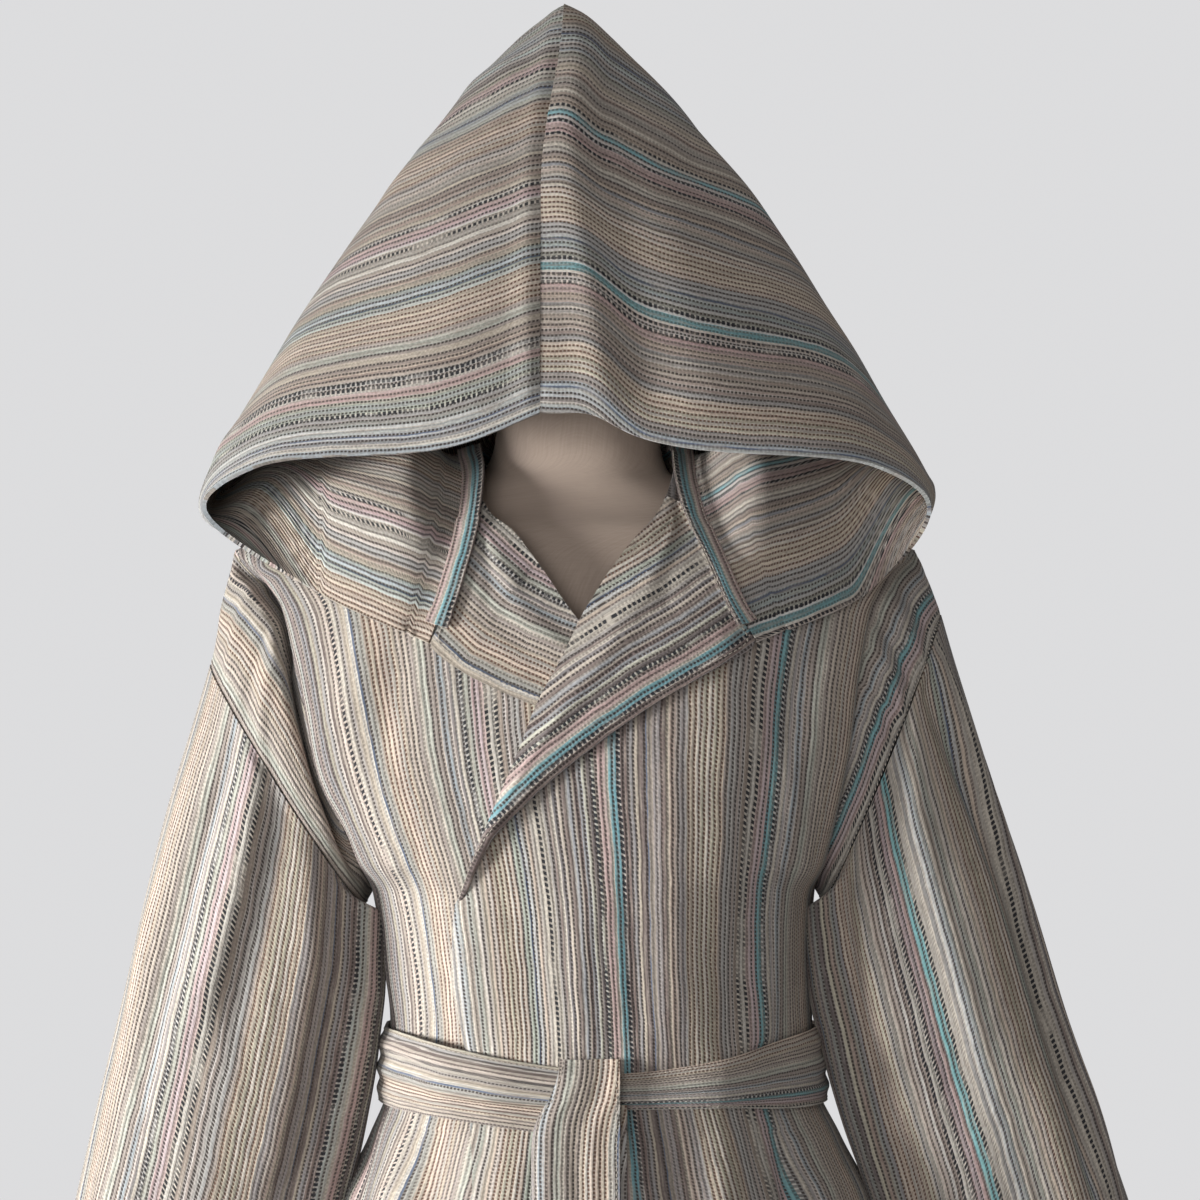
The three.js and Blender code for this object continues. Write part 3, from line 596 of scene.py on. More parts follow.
def hood_row(t, way, s):
    """Points of one section of the hood, from its centre seam to the neck seam."""
    seam = row_at(HOOD_SEAM, t)
    rest = row_at(LEFT_HOOD_REST if way > 0 else HOOD_REST, t)
    seam_x = HOOD_X + lerp(-20, -2, smooth(0.3, 0.55, t))
    shapes = [row_at(shape, t) for shape in (HOOD_FACE, HOOD_SIDE, HOOD_ROLL)]
    middle = [
        (lerp(seam_x, HOOD_X, min(1, shape["x"] / 90)) + way * shape["x"], shape["y"], shape["z"])
        for shape in shapes
    ]
    rest_x = HOOD_X + way * rest["x"]
    side = 1 if t > BEHIND else -1
    on = body_point(rest_x, shoulder_z(rest_x) - rest["drop"] - 1, side, NECK_RISE + 3)
    end = neck_point(np.array(t), way, NECK_RISE, NECK_GAP)
    line = through([(seam_x, seam["y"], seam["z"]), *middle, on, end], s)
    lifted = clear_of(line, HOOD_CLEAR, way)
    line = np.where(((s > 0.4) & (s < 0.97))[:, None], lifted, line)
    line[:, 0] = way * np.maximum(way * line[:, 0], way * (seam_x + way * GAP / 2))
    return line


def hood_grid(way, down, columns):
    s = fractions(columns)
    grid = np.stack([hood_row(t, way, s) for t in fractions(down)])
    t, s = grid_of(down, columns)
    flap = smooth(0.60, 0.76, s) * (1 - smooth(0.92, 0.988, s))
    flap = flap * smooth(0.0, 0.18, t) * (1 - smooth(0.46, 0.68, t))
    arch = bell(s, 0.075, 0.05) * (1 - smooth(0, 0.2, t)) * (way > 0)
    grid[..., 2] += FLAP_LIFT * flap + EDGE_ARCH * arch
    return ease(grid, 10)


def ease(grid, times):
    """A grid with its small kinks evened out, and its edges kept."""
    for _ in range(times):
        inner = grid[1:-1, 1:-1]
        around = grid[:-2, 1:-1] + grid[2:, 1:-1] + grid[1:-1, :-2] + grid[1:-1, 2:]
        grid[1:-1, 1:-1] = (inner + around / 4) / 2
    return grid


def tape_grid(count, columns):
    """The tape over the neck seam, from one lapel's corner round the nape to the other's."""
    ribs = []
    s = np.arange(0.999, 0.8, -0.002)
    for u in TAPE_END + (1 - 2 * TAPE_END) * fractions(count):
        way = 1 if u < 0.5 else -1
        t = 1 - abs(1 - 2 * u)
        seam = neck_point(np.array(t), way, NECK_RISE, 0)
        section = hood_row(t, way, s)
        outer = section[np.argmax(distance(section, seam) >= TAPE_HALF)]
        inner = 2 * seam - outer
        if t < 0.5:
            rise = left_rise(inner[0], inner[2]) if way > 0 else 0
            z = min(inner[2], shoulder_z(inner[0]) - 1)
            inner = body_point(inner[0], z, -1, rise + NECK_RISE)
        ribs.append((inner, seam, outer))
    ribs = np.array(ribs)
    ahead = np.gradient(ribs[:, 1], axis=0)
    normal = unit(np.cross(ahead, ribs[:, 2] - ribs[:, 0]))
    facing = normal[:, 2] + np.sign(ribs[:, 1, 1] - SIDE_Y) * normal[:, 1]
    normal = normal * np.where(facing < 0, -1, 1)[:, None]
    t = 1 - np.abs(1 - 2 * fractions(count))
    rise = TAPE_RISE + NAPE_RISE * smooth(0.75, 1, t)
    w = np.linspace(-1, 1, columns)[None, :, None]
    inner, seam, outer = (ribs[:, k, None] for k in range(3))
    grid = seam + (outer - inner) / 2 * w + (outer + inner - 2 * seam) / 2 * w**2
    return ease(grid + (normal * rise[:, None])[:, None], 3), w[0, :, 0]


def ring(out, inn, half, angle):
    """Points round a sleeve: full at its outer and inner sides, half deep."""
    c = squarer(np.cos(angle), SLEEVE_POWER)
    s = squarer(np.sin(angle), SLEEVE_POWER)
    return (out + inn) / 2 + (out - inn) / 2 * c[..., None] + point(0, -half * s, 0)


def turns(count):
    return np.linspace(0, 2 * math.pi, count, endpoint=False)


def sleeve_grid(rows, down, count):
    t, angle = np.meshgrid(fractions(down), turns(count), indexing="ij")
    row = row_at(rows, t)
    out = point(row["out_x"], SIDE_Y, row["out_z"])
    inn = point(row["in_x"], SIDE_Y, row["in_z"])
    return ring(out, inn, row["half"], angle), t, angle


def hole_ring(way, angle):
    z = lerp(UNDERARM_Z + 2, TIP_Z - 1, (1 + np.cos(angle)) / 2)
    body = body_at(z)
    slope = (body_at(z + 1)["half"] - body_at(z - 1)["half"]) / 2
    out = SEAM_OPEN / np.hypot(1, slope)
    x = body["shift"] + way * (body["half"] + out)
    return point(x, SIDE_Y - np.sign(np.sin(angle)) * hole_depth(z), z - slope * out)


def band_grid(rows, way, down, count):
    angle = turns(count)
    start = hole_ring(way, angle)
    end, _, _ = sleeve_grid(rows, 2, count)
    end = end[0]
    arm = np.array([rows["out_x"][0] - rows["in_x"][0], 0, rows["out_z"][0] - rows["in_z"][0]])
    up = unit(np.cross(arm, [0, way, 0]))
    end = end + up * (GAP + 0.9)
    t = fractions(down)[:, None]
    swell = 6 * np.sin(math.pi * t) * smooth(20, 90, distance(start, end))
    grid = start + (end - start) * t[..., None]
    grid[..., 2] += swell * np.maximum(0, np.cos(angle))
    grid[..., 1] -= swell * np.sin(angle)
    return grid, *np.broadcast_arrays(t, angle)


def belt_z(x, side):
    """Middle of the belt, which dips to its knot, more on the wearer's right."""
    front = np.where(side < 0, 1 - smooth(0, 170, np.abs(x - 10)), 0)
    return WAIST_Z + 14 - np.where(x < 0, 17, 8) * front


def lap_rise(x):
    return LAP_RISE * smooth(-150, -95, x) * (1 - smooth(95, 150, x))


KNOT = 0.03  # of a turn's radians, left open behind the belt's end


def belt_grid(columns, rows):
    k, s = np.meshgrid(np.linspace(-1, 1, rows), fractions(columns), indexing="ij")
    turn = lerp(KNOT, 2 * math.pi - KNOT, s)
    side = np.where(np.cos(turn) > 0, -1, 1)
    body = body_at(np.array(WAIST_Z))
    x = body["shift"] + body["half"] * np.sin(turn)
    drawn_in = np.where(np.sin(turn) > 0, 0.56, 0.12)
    narrow = 1.06 - drawn_in * np.maximum(0, np.cos(turn)) ** np.where(np.sin(turn) > 0, 3, 6)
    z = belt_z(x, side) + k * BELT_HALF * narrow
    spread = body["shift"] + body_at(z)["half"] * np.sin(turn)
    under_end = 3.2 * smooth(0.86, 0.99, np.cos(turn))
    rise = BELT_RISE + np.where(side < 0, lap_rise(spread), 0) + 2.5 * (1 - k * k) - under_end
    return body_point(spread, z, side, rise), k, turn


def tail_grid(top_z, bottom_z, x, top_half, half, out, down, columns):
    t, s = grid_of(down, columns)
    wide = lerp(top_half, half, smooth(0, 0.2, t))
    place = x + half - 2 * wide * (1 - s)
    wave = 1.5 * np.sin(math.pi * 2 * s)
    return body_point(place, lerp(top_z, bottom_z, t), -1, LAP_RISE + out + wave)


# ---- colours and stripes

YARNS = {
    "cream": (0.50, 0.46, 0.40),
    "white": (0.50, 0.475, 0.43),
    "tan": (0.42, 0.37, 0.305),
    "taupe": (0.34, 0.30, 0.26),
    "brown": (0.28, 0.235, 0.20),
    # The cloth's dark brown, made darker still with painted shade for the lapel's shadow on the chest
    "umber": (0.19, 0.155, 0.14),
    "grey": (0.36, 0.335, 0.30),
    "steel": (0.29, 0.28, 0.27),
    "mint": (0.41, 0.415, 0.365),
    "sky": (0.37, 0.385, 0.375),
    "slate": (0.13, 0.155, 0.21),
    "pink": (0.45, 0.35, 0.33),
    "peach": (0.50, 0.435, 0.355),
    "teal": (0.19, 0.35, 0.37),
    # Near-black painted shade in the holes of the dotted rows
    "ink": (0.018, 0.02, 0.026),
    # Painted shade in the groove beside each rib
    "gap": (0.06, 0.048, 0.044),
    # Brown painted shade in the holes of the openwork
    "openwork_shade": (0.13, 0.075, 0.055),
}


def run(text):
    """A run of stripes, from text that names each yarn and its width in millimetres."""
    return [(yarn, float(width)) for yarn, width in (stripe.split() for stripe in text.split(","))]


# The dotted rows are lines of holes whose near-black is painted shade, and "peach" is the openwork. The
# body's repeat, and each hood half from its front edge up, come in two parts.
# The umber stripes round the teal are partly painted shade, for the lapel's shadow on the chest and the
# shaded side.
BODY_A = run("""
    taupe 3, umber 3, cream 2.5, steel 3.5, tan 3, umber 4, steel 4, tan 2.5, umber 3, steel 4,
    cream 3, umber 4, ink 3, pink 8, cream 2.5, teal 6, ink 3, umber 5, steel 5, tan 3, umber 6,
    slate 1.5, taupe 3.5, steel 6, umber 4, tan 3, brown 4, taupe 3, steel 6, peach 28
""")
BODY_B = run("""
    grey 5, cream 3, taupe 5, white 3, brown 3, ink 3, white 4, ink 3, pink 9, teal 6, ink 2,
    grey 3, cream 2, steel 3, white 3, sky 5, cream 2, taupe 4, mint 6, cream 3, grey 4, tan 5,
    cream 3, peach 22, mint 7, slate 1.5, white 3, tan 5, grey 4, cream 3, ink 3, cream 4
""")
HOOD_LEFT_A = run("""
    grey 3, sky 3, white 2.5, grey 3, sky 7.5, slate 1.5, sky 3.5, grey 4, taupe 3, peach 24,
    grey 5, brown 3, cream 2.5, taupe 4, tan 4, brown 3, grey 4, cream 2.5, steel 3, taupe 4,
    tan 4, pink 7, ink 2.5, white 4, ink 2.5, white 2.5, teal 6, white 2, ink 3, grey 6, sky 7
""")
HOOD_LEFT_B = run("""
    slate 1.5, sky 5, grey 7, peach 29, cream 3, brown 3, grey 5, taupe 4, cream 2.5, steel 3,
    tan 5, brown 3, grey 5, cream 3, taupe 4, brown 3, ink 2.5, pink 9, ink 2.5, white 3, teal 6,
    white 2, ink 2.5, tan 7, brown 3, cream 3, taupe 6, grey 7, brown 3, cream 3, tan 7, grey 8
""")
HOOD_RIGHT_A = run("""
    sky 5, white 3, sky 5, slate 1.5, sky 5, white 3, mint 5, grey 4, ink 2.5, mint 8, cream 3,
    pink 6, white 2, ink 2.5, cream 2, ink 2.5, tan 4, brown 2.5, tan 3, brown 2.5, tan 6,
    taupe 3, mint 7, grey 4, peach 26, mint 6, slate 1.5, sky 8, tan 6, brown 2, tan 3
""")
HOOD_RIGHT_B = run("""
    grey 6, cream 3, taupe 5, white 3, grey 6, ink 2.5, cream 3, pink 10, ink 2.5, tan 6, brown 3,
    tan 5, taupe 4, brown 3, tan 4, grey 7, cream 3, grey 6, peach 29, mint 6, sky 6, slate 1.5,
    sky 5, mint 8, white 3, ink 2.5, pink 8, tan 5, brown 3, grey 6
""")
# Places in the body's repeat
TEAL_A = 56.0
TEAL_B = 181.0
PEACH = 240.0

# Casts of single ribs, as multipliers
TINTS = [
    (0.0, (1.0, 1.0, 1.0)), (0.28, (1.03, 0.98, 0.99)), (0.46, (0.95, 1.0, 1.08)),
    (0.6, (0.96, 1.02, 1.0)), (0.72, (1.0, 1.0, 1.04)), (0.86, (0.9, 0.88, 0.92)),
]


def width_of(stripes):
    return sum(width for _, width in stripes)


RIB = 0.0041  # one light rib of the weave and the gap beside it, metres
GAP_DOT = 0.0031  # one dot of such a gap
DOT = 0.0042  # one dot of a dotted row
WAVER = 0.0036  # how far the stripes wander
THREAD_STOPS = [(0.3, (0.36, 0.32, 0.27)), (0.7, (0.50, 0.46, 0.40))]
PAPER_STOPS = [(0.2, (0.74, 0.74, 0.75)), (0.8, (0.78, 0.78, 0.79))]


class Value:
    """What a node gives, for sums that read as in any other code."""

    def __init__(self, nodes, socket):
        self.nodes = nodes
        self.socket = socket

    def __add__(self, other):
        return self.nodes.math("ADD", self, other)

    def __sub__(self, other):
        return self.nodes.math("SUBTRACT", self, other)

    def __mul__(self, other):
        return self.nodes.math("MULTIPLY", self, other)

    def __truediv__(self, other):
        return self.nodes.math("DIVIDE", self, other)


class Nodes:
    """A new material, with short names for making its nodes."""

    def __init__(self, name):
        self.material = bpy.data.materials.new(name)
        self.material.use_nodes = True
        self.tree = self.material.node_tree

    def feed(self, socket, value):
        if isinstance(value, Value):
            self.tree.links.new(value.socket, socket)
        else:
            socket.default_value = value

    def node(self, kind, output, inputs, **settings):
        """Adds a node, with values for its inputs by name or number, and gives one output."""
        node = self.tree.nodes.new(kind)
        for name, value in settings.items():
            setattr(node, name, value)
        for key, value in inputs.items():
            self.feed(node.inputs[key], value)
        return Value(self, node.outputs[output])

    def math(self, operation, *values):
        return self.node("ShaderNodeMath", 0, dict(enumerate(values)), operation=operation)

    def fract(self, value):
        return self.math("FRACT", value)

    def from_middle(self, value):
        """How far a value's fraction is from one half."""
        return self.math("ABSOLUTE", self.fract(value) - 0.5)

    def mix(self, share, a, b, blend="MIX"):
        node = self.tree.nodes.new("ShaderNodeMix")
        node.data_type = "RGBA"
        node.blend_type = blend
        for name, value in (("Factor", share), ("A", a), ("B", b)):
            socket = next(i for i in node.inputs if i.name == name and i.enabled)
            self.feed(socket, (*value, 1) if isinstance(value, tuple) else value)
        return Value(self, next(o for o in node.outputs if o.enabled))

    def ramp(self, share, stops, how="CONSTANT"):
        node = self.tree.nodes.new("ShaderNodeValToRGB")
        node.color_ramp.interpolation = how
        elements = node.color_ramp.elements
        while len(elements) > 1:
            elements.remove(elements[-1])
        for k, (place, colour) in enumerate(stops):
            element = elements[0] if k == 0 else elements.new(place)
            element.position = place
            element.color = (*colour, 1)
        self.feed(node.inputs[0], share)
        return Value(self, node.outputs[0])

    def noise(self, vector, scale, detail=2.0, rough=0.5):
        inputs = {"Scale": scale, "Detail": detail, "Roughness": rough, "Vector": vector}
        return self.node("ShaderNodeTexNoise", 0, inputs)

    def vector(self, x, y, z=0.0):
        return self.node("ShaderNodeCombineXYZ", 0, {0: x, 1: y, 2: z})

    def random(self, value):
        return self.node("ShaderNodeTexWhiteNoise", "Value", {"W": value}, noise_dimensions="1D")

    def step(self, value, low, high):
        inputs = {"Value": value, "From Min": low, "From Max": high}
        return self.node("ShaderNodeMapRange", 0, inputs, interpolation_type="SMOOTHSTEP")

    def bump(self, height, distance, strength=1.0, **under):
        inputs = {"Strength": strength, "Distance": distance, "Height": height, **under}
        return self.node("ShaderNodeBump", 0, inputs)

    def cloth(self):
        """Metres of cloth across the stripes and along them."""
        place = self.node("ShaderNodeUVMap", 0, {}, uv_map="cloth")
        parts = self.node("ShaderNodeSeparateXYZ", 0, {0: place}).socket.node
        return Value(self, parts.outputs[0]), Value(self, parts.outputs[1])

    def object_place(self):
        return self.node("ShaderNodeTexCoord", "Object", {})

    def shade(self, colour, rough, **others):
        """Feeds the shader. The names of other inputs have _ for their spaces."""
        inputs = self.tree.nodes["Principled BSDF"].inputs
        self.feed(inputs["Base Color"], colour)
        self.feed(inputs["Roughness"], rough)
        for name, value in others.items():
            self.feed(inputs[name.replace("_", " ")], value)
        return self.material


def stops_of(stripes, pick):
    """Colour stops of a run of stripes, each where it starts."""
    total = width_of(stripes)
    place = 0.0
    stops = []
    for name, width in stripes:
        stops.append((place / total, pick(name)))
        place += width
    return stops


def cotton(name, first_run, second_run, accent=1.0):
    """Striped cotton with dotted rows and openwork. accent is how much of the teal shows."""
    n = Nodes(name)
    repeat = (width_of(first_run) + width_of(second_run)) * MM
    turn = width_of(first_run) * MM / repeat
    u, v = n.cloth()
    waver = n.noise(n.vector(u * 30.0, v * 26.0), 1.0, 3.0)
    u = u + (waver - 0.5) * WAVER
    place = n.fract(u / repeat)
    first = place / turn
    second = (place - turn) / (1 - turn)
    in_second = n.math("GREATER_THAN", place, turn)

    def pair(pick):
        low = n.ramp(first, stops_of(first_run, pick))
        high = n.ramp(second, stops_of(second_run, pick))
        return n.mix(in_second, low, high)

    teal = tuple(lerp(a, b, accent) for a, b in zip(YARNS["mint"], YARNS["teal"]))
    colours = dict(YARNS, teal=teal, ink=YARNS["cream"])
    colour = pair(lambda yarn: colours[yarn])
    is_hole_row = pair(lambda yarn: (float(yarn == "ink"),) * 3)
    is_open = pair(lambda yarn: (float(yarn == "peach"),) * 3)

    # Heathered yarn: each rib a little lighter or darker, and changing slowly along itself
    rib = u / RIB
    across = n.fract(rib)
    chance = n.random(n.math("FLOOR", rib))
    other = n.random(n.math("FLOOR", rib * 2.0))
    streak = n.noise(n.vector(u * 700.0, v * 11.0), 1.0, 2.0)
    speck = n.noise(n.vector(u * 620.0, v * 380.0), 1.0, 1.0)
    blotch = n.noise(n.vector(u, v), 9.0, 3.0)
    tone = (other * 0.4 + streak * 0.72) + (blotch * 0.2 + speck * 0.9) - 0.03
    heather = n.noise(n.vector(u * 480.0, v * 38.0), 1.0, 2.0)
    colour = n.mix(n.step(heather, 0.46, 0.66) * 0.55, colour, YARNS["taupe"])
    colour = n.mix(1.0, colour, n.ramp(chance, TINTS), "MULTIPLY")
    colour = n.mix(1.0, colour, n.vector(tone, tone, tone), "MULTIPLY")

    # A gap beside each rib, darkened as painted shade, crossed by small threads that leave a row of dots
    side = n.step(across, 0.44, 0.62) * n.step(across, 1.0, 0.86)
    dot = n.step(n.from_middle(v / GAP_DOT + chance), 0.38, 0.2) * 0.7 + 0.3
    depth = n.step(chance + streak * 0.3, -0.15, 0.75) * 0.95
    gap = side * dot * n.math("MAXIMUM", depth, is_open)
    colour = n.mix(gap, colour, n.mix(is_open, YARNS["gap"], YARNS["openwork_shade"]))

    # Dotted rows of holes, their near-black painted shade, worn in places
    worn = n.step(n.noise(n.vector(v * 24.0, place), 1.0), 0.30, 0.5)
    dots = is_hole_row * n.step(n.from_middle(v / DOT), 0.36, 0.26) * worn
    colour = n.mix(dots * 0.95, colour, YARNS["ink"])

    ridge = n.math("SINE", (across - 0.03) * (2 * math.pi))
    pick = n.math("SINE", v * (2 * math.pi / GAP_DOT))
    height = ridge * 0.2 + pick * 0.12 - n.math("MAXIMUM", dots, gap) * 0.8
    crumple = n.bump(n.noise(n.vector(u, v), 46.0, 4.0, 0.6), 0.004, 0.3)
    normal = n.bump(height, 0.0007, 0.8, Normal=crumple)
    uniform = {"Specular_IOR_Level": 0.18, "Sheen_Weight": 0.22, "Sheen_Roughness": 0.5}
    return n.shade(colour, 0.92, Normal=normal, **uniform)


def linen(name):
    """Plain beige linen with a fine upright weave."""
    n = Nodes(name)
    u, v = n.cloth()
    slub = n.noise(n.vector(u * 620.0, v * 40.0), 1.0, 2.0)
    weft = n.noise(n.vector(u * 60.0, v * 700.0), 1.0, 2.0)
    tone = slub * 0.6 + weft * 0.4
    colour = n.ramp(tone, [(0.3, (0.42, 0.335, 0.275)), (0.7, (0.50, 0.405, 0.34))], "LINEAR")
    normal = n.bump(tone, 0.0003, 0.3)
    return n.shade(colour, 0.9, Normal=normal, Specular_IOR_Level=0.2, Sheen_Weight=0.15)


def beech(name):
    """Oiled wood with rings across the cap."""
    n = Nodes(name)
    grain = n.node("ShaderNodeMapping", 0, {0: n.object_place(), "Scale": (14.0, 90.0, 60.0)})
    tone = n.noise(grain, 1.0, 5.0, 0.6)
    stops = [(0.3, (0.20, 0.105, 0.05)), (0.55, (0.34, 0.20, 0.10)), (0.75, (0.42, 0.27, 0.15))]
    normal = n.bump(tone, 0.0004, 0.4)
    return n.shade(n.ramp(tone, stops, "LINEAR"), tone * 0.2 + 0.38, Normal=normal, Coat_Weight=0.15)


def brushed_steel(name):
    """Brushed metal, with fine marks round the pole and the foot."""
    n = Nodes(name)
    u, v = n.cloth()
    marks = n.noise(n.vector(u * 8.0, v * 1400.0), 1.0, 3.0)
    colour = n.ramp(marks, [(0.3, (0.40, 0.39, 0.38)), (0.7, (0.56, 0.55, 0.54))], "LINEAR")
    return n.shade(colour, marks * 0.25 + 0.22, Normal=n.bump(marks, 0.0002, 0.4), Metallic=1.0)


def speckled(name, scale, detail, stops, rough):
    """A plain surface whose colour varies a little."""
    n = Nodes(name)
    tone = n.noise(n.object_place(), scale, detail)
    return n.shade(n.ramp(tone, stops, "LINEAR"), rough)


# ---- the object's pieces


def dress(piece, material, slot, *nodes):
    """Gives a piece its material and its place on the frame, and hides the solids it stands for."""
    piece.data.materials.append(material)
    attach(piece, "root")
    if nodes:
        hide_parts(*nodes)
    return piece


def sewn(name, node, material, grid, u, v, centre, slot="striped_cotton", **wall):
    """A cloth piece of the robe, from its grid and its cloth's millimetres."""
    return dress(shell(name, grid, u, v, centre, **wall), material, slot, node)


def hem(*gaps):
    """Thickness near turned edges, given cloth distances to them."""
    nearest = np.minimum.reduce(np.broadcast_arrays(*gaps))
    return CLOTH + HEM * (1 - smooth(HEM_WIDTH - 2, HEM_WIDTH + 1, nearest))


# Folds are rows of: the two ends, sideways bow, width and height, all in millimetres. On the
# panels a fold's places are across and up.
FRONT_LEFT_FOLDS = [
    (-94, 1085, -90, 1228, 0, 22, 5.0), (70, 1100, 62, 1330, 4, 15, 2.4),
    (36, 1085, 26, 1230, -3, 10, -2.2), (100, 1080, 118, 1290, -8, 13, -2.6),
    (128, 1075, 150, 1250, -6, 12, 2.8), (-30, 1080, -44, 1190, 3, 9, -1.6),
    (0, 1078, -6, 1200, 3, 9, 1.8), (150, 1300, 186, 1440, 6, 13, -3.0),
    (172, 1210, 150, 1330, 6, 14, 3.2), (28, 1020, 30, 700, -5, 14, 4.0),
    (66, 1022, 84, 620, 8, 16, -5.0), (104, 1018, 126, 520, -8, 15, 4.6),
    (146, 1016, 176, 760, 5, 7, -7.0), (174, 1006, 214, 560, 6, 15, 5.0),
    (-20, 1020, -30, 560, 6, 16, -4.4), (-56, 1018, -60, 640, -5, 13, 3.6),
    (150, 660, 182, 330, 4, 22, -6.0), (40, 600, 46, 330, 4, 24, 5.0),
]
FRONT_RIGHT_FOLDS = [
    (-214, 1325, -142, 1100, -14, 14, 3.6), (-196, 1280, -160, 1120, -8, 9, -2.8),
    (-120, 1078, -134, 1260, 6, 13, -2.2), (-84, 1075, -100, 1240, 6, 11, 2.4),
    (-104, 1110, -92, 1330, -10, 20, -1.8), (-176, 1420, -200, 1330, 8, 16, 2.6),
    (-150, 1400, -168, 1300, 6, 13, -2.4), (-90, 1018, -104, 640, 6, 13, 4.2),
    (-118, 1018, -142, 560, -8, 14, -5.0), (-150, 1014, -182, 600, 5, 14, 4.6),
    (-172, 1006, -214, 740, -5, 9, -5.4), (-66, 1020, -64, 700, -4, 12, -3.6),
    (-60, 620, -72, 330, 5, 22, 5.0), (-150, 600, -170, 330, -5, 22, -5.4),
]
BACK_FOLDS = [
    (-60, 1100, -70, 1300, 5, 14, 2.8), (-28, 1090, -22, 1240, -4, 11, -2.6),
    (14, 1092, 8, 1320, 4, 13, 3.0), (52, 1095, 70, 1260, -5, 12, -2.8),
    (96, 1100, 124, 1330, 8, 15, 3.0), (-110, 1100, -140, 1320, -8, 15, -3.0),
    (-150, 1260, -196, 1400, 10, 16, 3.4), (150, 1250, 190, 1390, -10, 16, 3.4),
    (-120, 1440, 100, 1446, 10, 22, 2.6), (-90, 1470, 70, 1478, 8, 14, -2.0),
    (-126, 1012, -156, 520, 8, 16, 5.0), (-92, 1014, -106, 640, -6, 13, -4.6),
    (-58, 1016, -66, 480, 6, 15, 5.2), (-20, 1016, -16, 700, 4, 12, -4.2),
    (16, 1016, 22, 520, -6, 15, 5.0), (54, 1016, 66, 660, 5, 13, -4.8),
    (92, 1014, 112, 500, 8, 16, 5.4), (130, 1012, 160, 600, -8, 14, -5.0),
    (160, 1006, 200, 480, 6, 16, 4.6), (-160, 1006, -190, 640, 6, 13, -4.6),
    (-30, 560, -34, 330, 4, 24, -6.0), (110, 540, 128, 330, 4, 24, -6.0),
]
# On the lapels: along from the lower end, and across from the roll
LAPEL_FOLDS = [
    (60, 40, 210, 30, 14, 12, 1.6), (110, 90, 260, 70, -10, 14, -1.4),
    (170, 20, 290, 60, 8, 10, 1.4),
]
# On the belt's ends: across and down
TAIL_FOLDS = [
    (14, 10, 12, 200, 2, 5, 1.6), (32, 20, 34, 260, -2, 6, -1.4), (48, 10, 50, 180, 2, 5, 1.4),
]
# On the sleeves: cloth round from the outer side by the front, and down
SLEEVE_LEFT_FOLDS = [
    (62, 0, 46, 520, 20, 13, 6.4), (88, 10, 74, 470, 20, 10, -7.0),
    (112, 0, 128, 260, -14, 13, 3.4), (30, 30, 22, 420, -10, 16, -3.4),
    (150, 60, 158, 300, 10, 15, -3.0), (180, 10, 186, 220, -10, 12, 3.2),
    (90, 330, 96, 560, 6, 20, 3.0), (300, 20, 310, 380, 16, 16, 3.4),
    (340, 0, 350, 300, -12, 14, -3.4), (270, 120, 262, 520, 10, 18, -3.0),
]
SLEEVE_RIGHT_FOLDS = [
    (120, 0, 104, 250, -14, 13, 5.4), (96, 20, 84, 330, 8, 10, -4.6),
    (150, 0, 150, 220, 10, 13, -3.2), (60, 60, 52, 420, 8, 20, 2.6),
    (180, 20, 186, 300, -8, 13, 3.0), (40, 240, 36, 560, -8, 16, -2.4),
    (120, 300, 124, 560, 6, 20, -2.4), (300, 10, 296, 360, 14, 16, 3.4),
    (336, 0, 342, 260, -12, 14, -3.4), (262, 160, 256, 540, 10, 18, -2.8),
]
# On the bands: cloth round from the top by the front, and across from the armhole
BAND_LEFT_FOLDS = [
    (60, 0, 96, 90, 4, 7, 4.0), (84, 0, 118, 80, 4, 6, -4.5), (104, 0, 142, 70, 4, 7, 4.5),
    (40, 0, 66, 90, 4, 8, -3.4), (130, 0, 160, 60, 3, 7, -3.0), (20, 0, 30, 90, 4, 9, 2.4),
]
BAND_RIGHT_FOLDS = [
    (40, 0, 62, 90, 4, 9, 3.2), (66, 0, 92, 80, -4, 9, -3.4), (100, 0, 126, 70, 4, 8, 2.8),
]
# On the hood: cloth out from the centre seam, and back from the front edge
HOOD_LEFT_FOLDS = [
    (110, 20, 250, 60, 10, 22, 3.0), (90, 90, 230, 120, -12, 20, -3.0),
    (60, 150, 190, 200, 10, 20, 3.0), (50, 220, 150, 260, -8, 18, -2.6),
    (260, 10, 300, 60, 6, 16, -3.0),
]
HOOD_RIGHT_FOLDS = [
    (70, 40, 240, 60, 8, 22, 2.4), (60, 110, 220, 130, -10, 22, -2.6),
    (40, 210, 170, 240, 10, 18, 2.6), (30, 270, 120, 285, -6, 14, -3.0),
    (30, 300, 110, 320, 6, 12, 3.0), (250, 20, 300, 70, -6, 16, 2.6),
]


def body_folds(place, height, folds, seed):
    """The folds of a panel, with low swells, all calmed where the belt lies over it."""
    under_belt = np.where(np.abs(height - WAIST_Z - 6) < 34, 0.25, 1.0)
    swell = ripple(place, height * 0.35, seed, 90, 2.2)
    return (1.3 * fold(place, height, folds) + swell) * under_belt


def axis_of(grid):
    """The upright line inside the body, at each point's height."""
    return point(0 * grid[..., 0], SIDE_Y, grid[..., 2])


def back_panel(material):
    grid, place, height, share = back_grid(*BACK_GRID)
    calm = smooth(2, 30, np.abs(grid[..., 1] - SIDE_Y)) * (1 - smooth(1455, 1500, height))
    grid = pressed(grid, body_folds(place, height, BACK_FOLDS, 3) * calm, axis_of(grid))
    down, over = lengths(grid)
    cloth = TEAL_B + round_to_side(share, over, 1, 1)
    wall = {"thick": hem(down[-1:] - down), "mitre": [("start", 1), ("first", 1), ("last", 1)]}
    return sewn("robe_back", "back_panel", material, grid, cloth, down, axis_of(grid), **wall)


